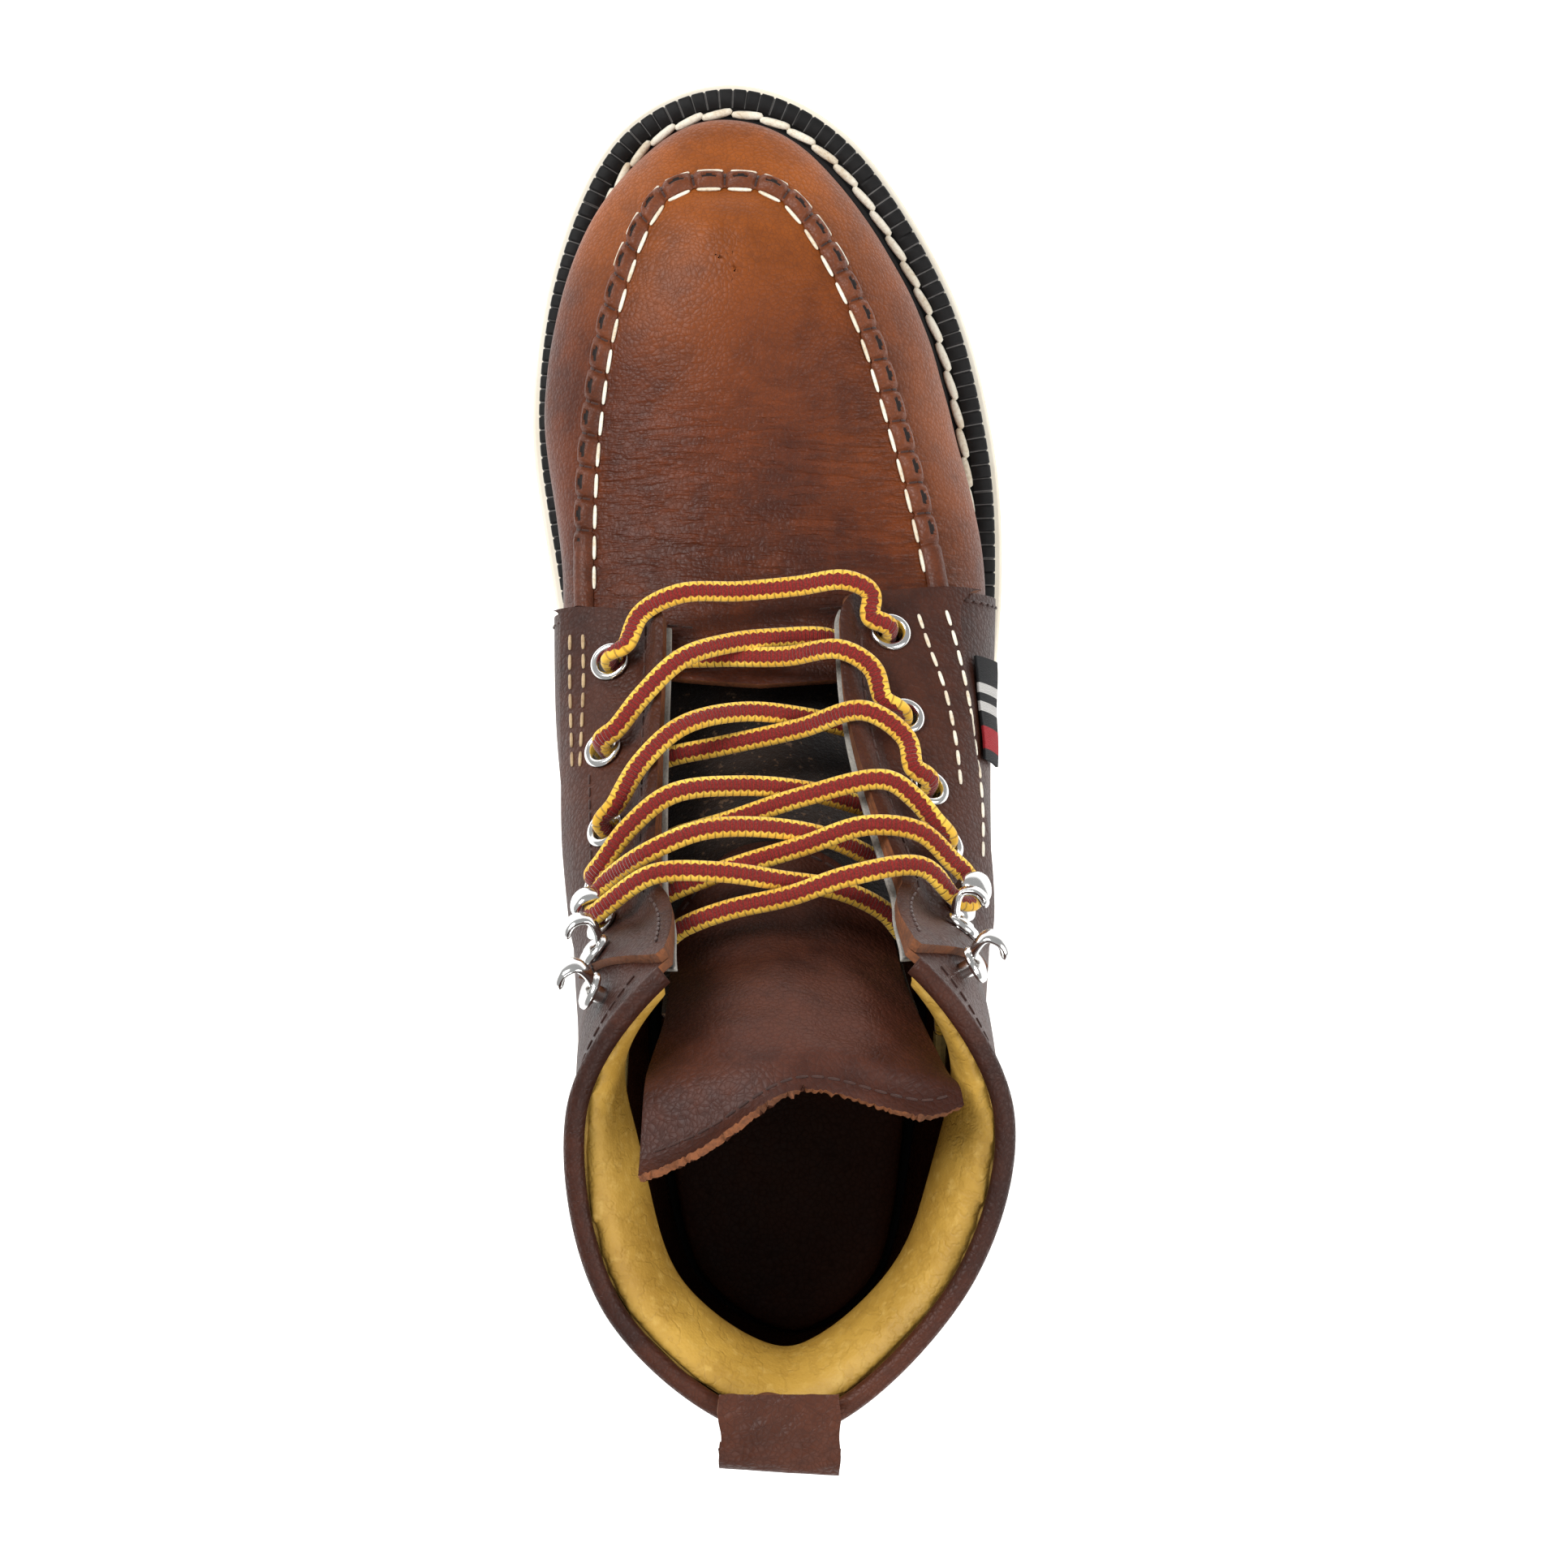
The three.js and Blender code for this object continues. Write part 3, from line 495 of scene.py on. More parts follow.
def smoothLeather(name, look):  # pebbled, oiled leather; look: colours and sizes
    finish = Finish(name, {"IOR": 1.48, "Specular IOR Level": look.get("shine", 0.5)})
    place = finish.place()
    x, y, z = finish.axes(place)
    drift = finish.noise(place, 90.0, 2.0, out="Color")
    swirled = finish.node("Mix", {"data_type": "VECTOR"}, {0: 0.0035, 4: place, 5: drift}, 1)
    grain = look["grain"]
    pebble = finish.cells(swirled, grain)
    valley = finish.cells(swirled, grain, "DISTANCE_TO_EDGE")
    coarse = finish.cells(swirled, grain * 0.43, "DISTANCE_TO_EDGE")
    fine = finish.noise(place, grain * 4.5, 2.0)
    groove = 1 - finish.step(valley, 0.0, 0.13)
    fold = 1 - finish.step(coarse, 0.0, 0.05)
    cloud = finish.noise(place, 22.0, 4.0, 0.6)
    fleck = finish.noise(place, 160.0, 3.0, 0.6)
    patch = finish.noise(place, 9.0, 2.0, 0.5)
    tone = finish.step(cloud * 0.65 + fleck * 0.35, 0.36, 0.64)
    colour = finish.blend(tone, look["dark"], look["mid"])
    # for the vamp the glow mask is partly pull-up and partly painted highlight; the other leathers get random
    # lighter patches
    glow = look["glow"](finish, x, y, z, patch) if "glow" in look else finish.step(patch, 0.45, 0.75)
    colour = finish.blend(glow * (0.55 + 0.45 * tone), colour, look["light"])
    # painted shade: the grain's valleys and coarse folds are darkened towards the shade tone
    colour = finish.blend((groove * 0.24 + fold * 0.07) * (0.55 + 0.6 * fleck), colour, look["shadeTone"])
    height = pebble * -0.55 + valley * 0.5 + fold * -0.14 + fine * 0.16
    normal = finish.bump(height, look["depth"])
    if "crease" in look:
        mark = look["crease"](finish, place, x, y, z)
        normal = finish.bump(mark, look["creaseDepth"], normal)
        # painted shade: the flex creases are darkened towards the shade tone
        colour = finish.blend(finish.step(mark, 0.4, 0.05) * 0.22, colour, look["shadeTone"])
    rough = look["rough"] + 0.16 * (fleck - 0.5) + 0.14 * groove
    finish.put(finish.shader, {"Base Color": colour, "Roughness": rough, "Normal": normal})
    return finish.material


def vampPullUpHighlight(finish, x, y, z, patch):  # lighter on toe and outer wall, partly pull-up where the leather is stretched and partly painted highlight where light falls; held back in the middle of the apron
    toe = finish.step(y, 0.085, 0.135)
    wall = finish.step(x + (0.06 - y) * 0.12, 0.024, 0.05)
    inner = finish.step(x, -0.032, -0.048)
    middle = finish.step(abs(y - 0.05), 0.03, 0.0) * finish.step(abs(x + 0.006), 0.026, 0.004)
    return finish.step(toe * 0.6 + wall * 0.42 + inner * 0.05 + (patch - 0.5) * 1.4 - middle * 0.3, 0.0, 1.0)


def vampCrease(finish, place, x, y, z):  # flex creases across the ball of the foot
    wide = finish.stretched(place, (60.0, 300.0, 90.0), (0, 0, 0.05))
    lines = finish.noise(wide, 1.0, 3.0, 0.6)
    folded = 1 - abs(lines - 0.5) * 4.5
    where = finish.step(y, -0.005, 0.02) * finish.step(y, 0.098, 0.062) * finish.step(z, 0.052, 0.06)
    return 0.5 - finish.step(folded, 0.35, 1.0) * where * 0.5


def plainFinish(name, colour, rough, detail, metal=0.0, other=None):
    # detail: noise scale, bump depth in mm, how much the colour changes
    finish = Finish(name, {"Metallic": metal, **(other or {})})
    place = finish.place()
    scale, depth, change = detail
    grain = finish.noise(place, scale, 4.0, 0.6)
    cloud = finish.noise(place, scale * 0.08, 3.0, 0.5)
    dark = tuple(c * (1 - change) for c in colour)
    tint = finish.blend(finish.step(grain * 0.5 + cloud * 0.5, 0.35, 0.65), dark, colour)
    normal = finish.bump(grain, depth)
    finish.put(
        finish.shader, {"Base Color": tint, "Roughness": rough + (grain - 0.5) * 0.12, "Normal": normal}
    )
    return finish.material


def suedeFinish(name, look):
    finish = Finish(
        name, {"Roughness": 0.96, "Specular IOR Level": 0.2, "Sheen Weight": 0.25, "Sheen Roughness": 0.5}
    )
    place = finish.place()
    nap = finish.noise(place, 900.0, 4.0, 0.7)
    speck = finish.noise(place, 620.0, 2.0, 0.6)
    brushed = finish.noise(place, 60.0, 3.0, 0.6)
    colour = finish.blend(finish.step(brushed, 0.35, 0.65), look["dark"], look["mid"])
    colour = finish.blend(finish.step(speck * 0.72 + brushed * 0.28, 0.585, 0.66), colour, look["speck"])
    finish.put(finish.shader, {"Base Color": colour, "Normal": finish.bump(nap, 0.5)})
    return finish.material


def liningFinish(name, look):  # soft glove leather with lighter flecks and darker fold lines
    finish = Finish(name, {"IOR": 1.45, "Specular IOR Level": 0.35})
    place = finish.place()
    cloud = finish.noise(place, 38.0, 4.0, 0.6)
    fleck = finish.noise(place, 420.0, 3.0, 0.6)
    pore = finish.cells(place, 1500.0)
    fold = finish.noise(finish.stretched(place, (1.0, 1.0, 0.45)), 150.0, 3.0, 0.65)
    line = finish.step(abs(fold - 0.5), 0.05, 0.0)
    colour = finish.blend(finish.step(cloud, 0.32, 0.68), look["dark"], look["mid"])
    colour = finish.blend(finish.step(fleck, 0.5, 0.8) * 0.5, colour, look["light"])
    # painted shade: the fold lines are darkened towards the shade tone
    colour = finish.blend(line * 0.12, colour, look["shadeTone"])
    normal = finish.bump(pore * 0.5 + fleck * 0.4, 0.12)
    normal = finish.bump(finish.noise(place, 70.0, 3.0, 0.5) - line * 0.12, 0.6, normal)
    finish.put(
        finish.shader, {"Base Color": colour, "Roughness": 0.55 + (fleck - 0.5) * 0.2, "Normal": normal}
    )
    return finish.material


def laceFinish(name, look):  # braided: two yellow edges and a dark stripe on each face
    finish = Finish(
        name, {"Roughness": 0.82, "Specular IOR Level": 0.25, "Sheen Weight": 0.3, "Sheen Roughness": 0.4}
    )
    u, v, _ = finish.axes(finish.place("UV"))
    around = finish.node("Math", {"operation": "FRACT"}, {0: v * 2.0})
    off = abs(around - 0.5)  # 0 in the middle of each face
    length = u * look["cells"]
    tooth = finish.node("Math", {"operation": "FRACT"}, {0: length})
    zigzag = abs(tooth - 0.5) * 2.0
    half = finish.node("Math", {"operation": "FRACT"}, {0: length * 2.0 + 0.5})
    bead = abs(half - 0.5) * 2.0
    stripe = finish.step(off - 0.085 * zigzag, look["stripe"] + 0.02, look["stripe"] - 0.02)
    seam = finish.step(zigzag, 0.3, 0.0) * (1 - stripe) + finish.step(bead, 0.35, 0.0) * stripe * 0.8
    yarn = finish.noise(finish.place(), 3000.0, 2.0)
    cloud = finish.noise(finish.place(), 120.0, 2.0)
    yellow = finish.blend(finish.step(cloud, 0.3, 0.7), look["yellowDark"], look["yellow"])
    red = finish.blend(finish.step(yarn, 0.35, 0.7), look["redDark"], look["red"])
    colour = finish.blend(stripe, yellow, red)
    colour = finish.blend(seam * 0.5, colour, look["shade"])
    height = 0.7 * (1 - seam) + yarn * 0.15 + finish.step(abs(off - look["stripe"]), 0.0, 0.06) * 0.3
    finish.put(finish.shader, {"Base Color": colour, "Normal": finish.bump(height, 0.32)})
    return finish.material


def threadFinish(name, light, shade, twist=1400.0):
    finish = Finish(name, {"Roughness": 0.75, "Specular IOR Level": 0.3, "Sheen Weight": 0.2})
    place = finish.place()
    ply = finish.noise(finish.stretched(place, (1.0, 1.0, 1.0), (0.4, 0.7, 0.3)), twist, 2.0)
    soil = finish.noise(place, 130.0, 3.0)
    colour = finish.blend(
        finish.step(soil, 0.4, 0.7) * 0.55 + finish.step(ply, 0.55, 0.3) * 0.35, light, shade
    )
    finish.put(finish.shader, {"Base Color": colour, "Normal": finish.bump(ply, 0.15)})
    return finish.material


def tagFinish(name, look):  # black weave with plain stripes
    finish = Finish(name, {"Roughness": 0.8, "Specular IOR Level": 0.25})
    u, v, _ = finish.axes(finish.place("UV"))
    band = finish.step(abs(u - 0.2), 0.11, 0.1)
    thin = finish.step(abs(u - 0.5), 0.05, 0.045) + finish.step(abs(u - 0.68), 0.05, 0.045)
    warp = abs(finish.node("Math", {"operation": "FRACT"}, {0: u * 60.0}) - 0.5)
    weft = abs(finish.node("Math", {"operation": "FRACT"}, {0: v * 44.0}) - 0.5)
    colour = finish.blend(band, look["ground"], look["red"])
    colour = finish.blend(thin, colour, look["white"])
    colour = finish.blend((warp + weft) * 0.5, colour, look["ground"])
    finish.put(finish.shader, {"Base Color": colour, "Normal": finish.bump(warp + weft, 0.15)})
    return finish.material


def soleFinish(name, look):  # moulded foam rubber with fine side lines
    finish = Finish(name, {"IOR": 1.45, "Specular IOR Level": 0.3})
    place = finish.place()
    grain = finish.noise(place, 1500.0, 3.0, 0.6)
    cloud = finish.noise(place, 25.0, 3.0)
    scuff = finish.noise(finish.stretched(place, (40.0, 40.0, 260.0)), 1.0, 4.0, 0.7)
    colour = finish.blend(finish.step(cloud, 0.3, 0.7), look["mid"], look["light"])
    colour = finish.blend(finish.step(scuff, 0.58, 0.75) * 0.3, colour, look["soil"])
    finish.put(
        finish.shader,
        {"Base Color": colour, "Roughness": 0.62 + grain * 0.15, "Normal": finish.bump(grain, 0.12)}
    )
    return finish.material


vampLook = {
    "dark": (0.052, 0.0105, 0.0032),
    "mid": (0.118, 0.0235, 0.0036),
    # light: the vamp's colour for pull-up and painted highlight on toe and outer wall
    "light": (0.32, 0.082, 0.0095),
    "shadeTone": (0.016, 0.0045, 0.002),
    "grain": 880.0,
    "depth": 0.17,
    "rough": 0.43,
    "shine": 0.24,
    "glow": vampPullUpHighlight,
    "crease": vampCrease,
    "creaseDepth": 0.42,
}
quarterLook = {
    "dark": (0.026, 0.0075, 0.0042),
    "mid": (0.056, 0.0148, 0.0068),
    "light": (0.1, 0.027, 0.0105),
    "shadeTone": (0.009, 0.0035, 0.0025),
    "grain": 760.0,
    "depth": 0.24,
    "rough": 0.47,
    "shine": 0.24,
}
bandLook = {
    **quarterLook, "dark": (0.05, 0.0135, 0.006), "mid": (0.115, 0.03, 0.011), "light": (0.17, 0.047, 0.016)
}
bandLook.update({"grain": 900.0, "depth": 0.14, "rough": 0.4})
tongueLook = {
    **quarterLook,
    "dark": (0.038, 0.011, 0.0065),
    "mid": (0.08, 0.0225, 0.0115),
    "light": (0.14, 0.041, 0.017),
    "grain": 760.0,
    "depth": 0.2,
    "rough": 0.48,
}
vampLeather = smoothLeather("vampLeather", vampLook)
quarterLeather = smoothLeather("quarterLeather", quarterLook)
bandLeather = smoothLeather("bandLeather", bandLook)
tongueLeather = smoothLeather("tongueLeather", tongueLook)
innerLook = {
    **quarterLook, "dark": (0.045, 0.014, 0.006), "mid": (0.085, 0.028, 0.011), "light": (0.11, 0.035, 0.013),
    "depth": 0.1
}
innerLeather = smoothLeather("innerLeather", innerLook)
# painted shade: near-black finish for the punched slots, standing in for the shade inside holes that are only
# shallow dips
slotShade = plainFinish("slotShade", (0.012, 0.005, 0.003), 0.8, (700.0, 0.1, 0.4))
weltGroove = plainFinish("weltGroove", (0.1, 0.095, 0.09), 0.7, (700.0, 0.08, 0.4))
cutEdge = plainFinish("cutEdge", (0.22, 0.07, 0.02), 0.85, (900.0, 0.35, 0.55))
suede = suedeFinish(
    "suede", {"dark": (0.008, 0.005, 0.004), "mid": (0.024, 0.013, 0.008), "speck": (0.12, 0.07, 0.04)}
)
yellowLook = {
    "dark": (0.36, 0.2, 0.03), "mid": (0.52, 0.31, 0.055), "light": (0.66, 0.44, 0.12),
    "shadeTone": (0.2, 0.1, 0.015)
}
yellowLining = liningFinish("yellowLining", yellowLook)
paleSole = soleFinish(
    "paleSole", {"light": (0.86, 0.8, 0.68), "mid": (0.78, 0.7, 0.57), "soil": (0.5, 0.42, 0.32)}
)
blackWelt = plainFinish(
    "blackWelt", (0.007, 0.0065, 0.0065), 0.62, (700.0, 0.08, 0.4), 0.0, {"Specular IOR Level": 0.22}
)
whiteThread = threadFinish("whiteThread", (0.84, 0.79, 0.66), (0.5, 0.37, 0.22))
tanThread = threadFinish("tanThread", (0.5, 0.36, 0.2), (0.24, 0.14, 0.07))
darkThread = threadFinish("darkThread", (0.05, 0.018, 0.012), (0.02, 0.009, 0.007))
nickel = plainFinish("nickel", (0.76, 0.755, 0.74), 0.16, (260.0, 0.02, 0.08), 1.0)
steel = plainFinish("steel", (0.5, 0.5, 0.51), 0.35, (420.0, 0.03, 0.25), 1.0)
cork = plainFinish("cork", (0.42, 0.26, 0.13), 0.9, (520.0, 0.3, 0.6))
fibreboard = plainFinish("fibreboard", (0.33, 0.22, 0.12), 0.85, (850.0, 0.1, 0.3))
foam = plainFinish("foam", (0.46, 0.28, 0.06), 0.95, (1300.0, 0.3, 0.25))
greyTextile = plainFinish("greyTextile", (0.42, 0.4, 0.36), 0.95, (1700.0, 0.3, 0.4))
agletFilm = plainFinish("agletFilm", (0.55, 0.42, 0.16), 0.25, (400.0, 0.03, 0.3), 0.0, {"Coat Weight": 0.6})
tagWeave = tagFinish(
    "tagWeave", {"ground": (0.01, 0.01, 0.011), "red": (0.42, 0.012, 0.02), "white": (0.7, 0.68, 0.65)}
)
laceLook = {
    "cells": 620.0,
    "stripe": 0.155,
    "yellow": (0.88, 0.56, 0.075),
    "yellowDark": (0.74, 0.41, 0.04),
    "red": (0.26, 0.018, 0.013),
    "redDark": (0.13, 0.008, 0.007),
    "shade": (0.12, 0.05, 0.012),
}
laceBraid = laceFinish("laceBraid", laceLook)

cadFinishes = {
    "pale_sole": paleSole,
    "black_welt": blackWelt,
    "fibreboard": fibreboard,
    "cork": cork,
    "steel": steel,
    "vamp_leather": vampLeather,
    "quarter_leather": quarterLeather,
    "tongue_leather": tongueLeather,
    "lining_leather": innerLeather,
    "suede": suede,
    "yellow_lining": yellowLining,
    "foam": foam,
    "grey_textile": greyTextile,
    "nickel": nickel,
    "lace_braid": laceBraid,
    "aglet_film": agletFilm,
    "black_weave": tagWeave,
}
slotOf = {part["node"]: part["material_slot"] for part in frame["record"]["subparts"]}
for nodeName, node in frame["nodes"].items():
    node.data.materials.clear()
    node.data.materials.append(cadFinishes[slotOf[nodeName]])
print("finishes ready")


# ---------- stitches
def stitchShape():  # one plump stitch along Z, from -1 to 1
    bm = bmesh.new()
    bmesh.ops.create_uvsphere(bm, u_segments=8, v_segments=6, radius=1.0)
    for vertex in bm.verts:
        radius = math.hypot(vertex.co.x, vertex.co.y)
        if radius > 1e-6:
            vertex.co.x *= radius**-0.45
            vertex.co.y *= radius**-0.45
        vertex.co.z = math.copysign(abs(vertex.co.z) ** 0.8, vertex.co.z)
    mesh = bpy.data.meshes.new("stitchShape")
    bm.to_mesh(mesh)
    bm.free()
    return mesh, np.array([vertex.co for vertex in mesh.vertices])


stitchMesh, stitchPoints = stitchShape()


def sewnRow(track, normals, stitch):  # stitches along a track; stitch: length, gap, width, height
    reach = np.concatenate([[0], np.cumsum(np.linalg.norm(np.diff(track, axis=0), axis=1))])
    pitch = stitch["length"] + stitch["gap"]
    count = stitch.get("count") or max(1, int(round(reach[-1] / pitch)))
    pitch = reach[-1] / count
    length = stitch["length"] * pitch / (stitch["length"] + stitch["gap"])
    along = lambda values, s: np.stack([np.interp(s, reach, values[:, k]) for k in range(3)], -1)
    starts = (np.arange(count) + 0.5) * pitch
    first, last = along(track, starts - length / 2), along(track, starts + length / 2)
    normal = unit(along(normals, starts))
    ahead = unit(last - first)
    lean = math.radians(stitch.get("lean", 0))
    side = unit(np.cross(normal, ahead))
    ahead = ahead * math.cos(lean) + side * math.sin(lean)
    side = unit(np.cross(normal, ahead))
    middle = (first + last) / 2 + normal * stitch.get("lift", 0)
    shaped = (
        middle[:, None]
        + stitchPoints[None, :, 0:1] * side[:, None] * stitch["width"] / 2
        + stitchPoints[None, :, 1:2] * normal[:, None] * stitch["height"] / 2
        + stitchPoints[None, :, 2:3] * ahead[:, None] * length / 2
    )
    return shaped.reshape(-1, 3), count


def sewn(name, rows, finish, body="boot"):  # rows: (track, normals, stitch)
    made = [sewnRow(*row) for row in rows]
    bm = bmesh.new()
    for _ in range(sum(count for _, count in made)):
        bm.from_mesh(stitchMesh)
    for vertex, point in zip(bm.verts, toFrame(np.concatenate([points for points, _ in made]))):
        vertex.co = point
    return makePiece(name, bm, [finish], body=body)


def trackOn(turns, rises, out):
    return lastOffset(turns, rises, out), lastNormal(turns, rises)


def trackBelow(points, pieces, out=0.1, samples=160):  # a track in plan, dropped on finished pieces
    plan = splineAt(np.array([(*p, 0) for p in points], float), np.linspace(0, 1, samples))
    trees = [BVHTree.FromObject(piece, bpy.context.evaluated_depsgraph_get()) for piece in pieces]
    places, normals = [], []
    for spot in toFrame(plan):
        start = Vector((spot[0], spot[1], 0.3))
        hits = [hit for hit in (tree.ray_cast(start, Vector((0, 0, -1))) for tree in trees) if hit[0]]
        if not hits:
            continue
        place, normal = max(hits, key=lambda hit: hit[0].z)[:2]
        places.append(np.array(place) / mm - bootShift)
        normals.append(np.array(normal) * (1 if normal.z > 0 else -1))
    return np.array(places) + np.array(normals) * out, np.array(normals)


# ---------- sole and welt
bandSole = {"edge": 1.1, "columns": 760}


def flatHeight(function, rise=0.0):
    return lambda y, a: function(y) + rise


edge = bandSole["edge"]
groove = lambda depth: (lambda a: np.full(len(a), depth))
outsoleRows = [
    (40, flatHeight(outsoleBottom)),
    (24, flatHeight(outsoleBottom)),
    (12, flatHeight(outsoleBottom)),
    (4, flatHeight(outsoleBottom)),
    (edge, flatHeight(outsoleBottom)),
    (edge * 0.3, flatHeight(outsoleBottom, edge * 0.3)),
    (0, flatHeight(outsoleBottom, edge)),
    (0, flatHeight(outsoleBottom, 3.2)),
    (0.5, flatHeight(outsoleBottom, 3.5)),
    (0.5, flatHeight(outsoleBottom, 4.1)),
    (0, flatHeight(outsoleBottom, 4.4)),
    (0, lambda y, a: mixed(outsoleBottom(y), outsoleTop(y), 0.6)),
    (0, lambda y, a: outsoleTop(y) - 2.6),
    (0.4, lambda y, a: outsoleTop(y) - 2.3),
    (0.4, lambda y, a: outsoleTop(y) - 1.8),
    (0, lambda y, a: outsoleTop(y) - 1.5),
    (0, flatHeight(outsoleTop, -0.5)),
    (0.15, flatHeight(outsoleTop, -0.15)),
    (0.5, flatHeight(outsoleTop)),
    (12, flatHeight(outsoleTop)),
    (24, flatHeight(outsoleTop)),
]


# a slab inside the sole's edge
def soleSlab(name, low, high, inset, edgeRadius, finish, standsFor, side=(), insetAt=None):
    rows = [
        (inset + edgeRadius, flatHeight(low)), (inset + edgeRadius * 0.3, flatHeight(low, edgeRadius * 0.3))
    ]
    rows.append((inset, flatHeight(low, edgeRadius)))
    rows += list(side)
    rows += [
        (inset, flatHeight(high, -edgeRadius)),
        (inset + edgeRadius * 0.3, flatHeight(high, -edgeRadius * 0.3))
    ]
    rows.append((inset + edgeRadius, flatHeight(high)))
    if insetAt:
        here = lambda more: lambda a: insetAt(edgePoint(a, 0 * a)[:, 1]) + more
        rows = [(here(depth), height) for depth, height in rows]
    bm = bandOnEdge(rows, bandSole["columns"])
    fillSoleFace(bm, rows[0], low)
    fillSoleFace(bm, rows[-1], high)
    bmesh.ops.remove_doubles(bm, verts=bm.verts[:], dist=2e-6)
    outwards(bm)
    piece = makePiece(name, bm, [finish], standsFor)
    piece.data.set_sharp_from_angle(angle=math.radians(50))
    return piece


def fillSoleFace(bm, row, height):  # rings that close a face towards the sole's middle line
    middle = lambda y: np.interp(y, [-150, -100, -40, 0, 40, 100, 150], [5, 5, 5, 4, 0, -5, -8])
    count = bandSole["columns"]
    shares = np.arange(count) / count
    start = edgePoint(shares, row[0](shares) if callable(row[0]) else np.full(count, float(row[0])))
    rings = 7
    loopY = start[:, 1]
    spineY = np.clip(loopY, -118, 122)
    grid = []
    for k in range(rings + 1):
        part = k / rings
        target = np.stack([middle(spineY), spineY, 0 * spineY], -1)
        ring = mixed(start, target, part)
        ring[:, 2] = height(ring[:, 1])
        grid.append([bm.verts.new(p) for p in toFrame(ring)])
    for k in range(rings):
        for i in range(count):
            corners = [grid[k][i], grid[k][(i + 1) % count], grid[k + 1][(i + 1) % count], grid[k + 1][i]]
            bm.faces.new(corners)


soleSlab(
    "outsole", outsoleBottom, outsoleTop, 0, 0.9, paleSole, ["wedge_outsole"], outsoleRows[7:16]
)
soleSlab(
    "midsoleLayer", lambda y: outsoleTop(y) + 0.2, midsoleTop, 0.5, 0.5, paleSole, ["midsole"]
)

welt = {
    "ribPitch": 3.2, "ribDepth": 0.4, "ribFrom": 1.9, "ribTo": 6.5, "columns": 2400, "thread": 7.65,
    "lip": 8.9
}


def soleLength(samples=2000):
    points = edgePoint(np.linspace(0, 1, samples), np.full(samples, 4.0))
    return np.linspace(0, 1, samples), np.concatenate(
        [[0], np.cumsum(np.linalg.norm(np.diff(points, axis=0), axis=1))]
    )


edgeShares, edgeReach = soleLength()


def ribWave(a):  # 1 on a rib's back, 0 in the groove between two
    reach = np.interp(a, edgeShares, edgeReach)
    ribsRound = round(edgeReach[-1] / welt["ribPitch"])
    phase = (reach / edgeReach[-1] * ribsRound) % 1
    return smoothStep(np.abs(phase - 0.5) * -2 + 1, 0.02, 0.2)


def weltHeight(drop, ribbed):
    return lambda y, a: upperBase(y) - drop - (welt["ribDepth"] * (1 - ribWave(a)) if ribbed else 0)


weltRows = [
    (12, flatHeight(midsoleTop, 0.2)),
    (welt["ribFrom"] + 0.4, flatHeight(midsoleTop, 0.2)),
    (lambda a: welt["ribFrom"] + 0.45 * (1 - ribWave(a)), flatHeight(midsoleTop, 0.8)),
    (lambda a: welt["ribFrom"] + 0.45 * (1 - ribWave(a)), weltHeight(1.6, False)),
    (lambda a: welt["ribFrom"] + 0.25 + 0.35 * (1 - ribWave(a)), weltHeight(0.75, True)),
    (welt["ribFrom"] + 0.9, weltHeight(0.35, True)),
    (mixed(welt["ribFrom"], welt["ribTo"], 0.5), weltHeight(0.15, True)),
    (welt["ribTo"] - 0.3, weltHeight(0.2, True)),
    (welt["ribTo"], weltHeight(0.55, False)),
    (welt["ribTo"] + 0.25, weltHeight(0.9, False)),
    (welt["lip"] - 0.25, weltHeight(0.9, False)),
    (welt["lip"], weltHeight(0.3, False)),
    (welt["lip"] + 0.5, weltHeight(0.0, False)),
    (welt["lip"] + 1.6, weltHeight(-0.1, False)),
    (12, weltHeight(0.0, False)),
    (12, flatHeight(midsoleTop, 0.2)),
]
weltGrid = bandOnEdge(weltRows, welt["columns"])
inGroove = lambda a, b: (ribWave(a) < 0.35) & (b > 3 / (len(weltRows) - 1)) & (b < 8 / (len(weltRows) - 1))
paintFaces(weltGrid, inGroove)
weltPiece = makePiece("ribbedWelt", outwards(weltGrid), [blackWelt, weltGroove], ["welt"])
weltPiece.data.set_sharp_from_angle(angle=math.radians(60))
shares = np.linspace(0, 1, 1500)
lockTrack = edgePoint(shares, np.full(1500, welt["thread"]))
lockTrack[:, 2] = upperBase(lockTrack[:, 1]) - 0.1
lockNormals = np.tile([0.0, 0.0, 1.0], (1500, 1))
lockStitch = {"length": 7.6, "gap": -0.6, "width": 2.05, "height": 1.6, "lean": 7}
sewn("weltStitches", [(lockTrack, lockNormals, lockStitch)], whiteThread)
print("sole and welt ready")

# ---------- toe
toe = {"end": 4.4, "wing": 4.26, "throat": 4.66, "bandHalf": 2.75, "bandRise": 2.1, "bandBase": 0.25}


def apronEnd(rises):
    return mixed(toe["wing"], toe["throat"], smoothStep(rises, 0.6, 0.66))


def creaseDepth(points):  # broad folds across the ball of the foot
    x, y = points[:, 0], points[:, 1]
    folds = [
        (20, 0.35, 2.2), (29, 0.3, 1.8), (37, 0.45, 2.4), (44, 0.3, 1.6), (52, 0.4, 2.6), (61, 0.28, 2.2),
        (71, 0.22, 2.4)
    ]
    total = np.zeros(len(x))
    for index, (at, depth, width) in enumerate(folds):
        line = at + 1.8 * np.sin(x / 11 + index * 1.7) + 0.07 * x * (1 if index % 2 else -1)
        fade = smoothStep(np.abs(x + 5 - 3 * math.sin(index * 2.1)), 34, 12)
        total -= depth * np.exp(-(((y - line) / width) ** 2)) * fade
    return total


def evenTip(points):  # a smooth cap over the place where all the lines of the toe meet
    x, y = ((points - np.array(ridge["tip"]))[:, :2] / 10).T
    away = np.hypot(x, y)
    terms = np.stack([x * 0 + 1, x, y, x * x, x * y, y * y], axis=1)
    ring = (away > 0.7) & (away < 1.5)
    fit = np.linalg.lstsq(terms[ring], points[ring, 2], rcond=None)[0]
    points[:, 2] = mixed(points[:, 2], terms @ fit, smoothStep(away, 1.4, 0.7))
    return points


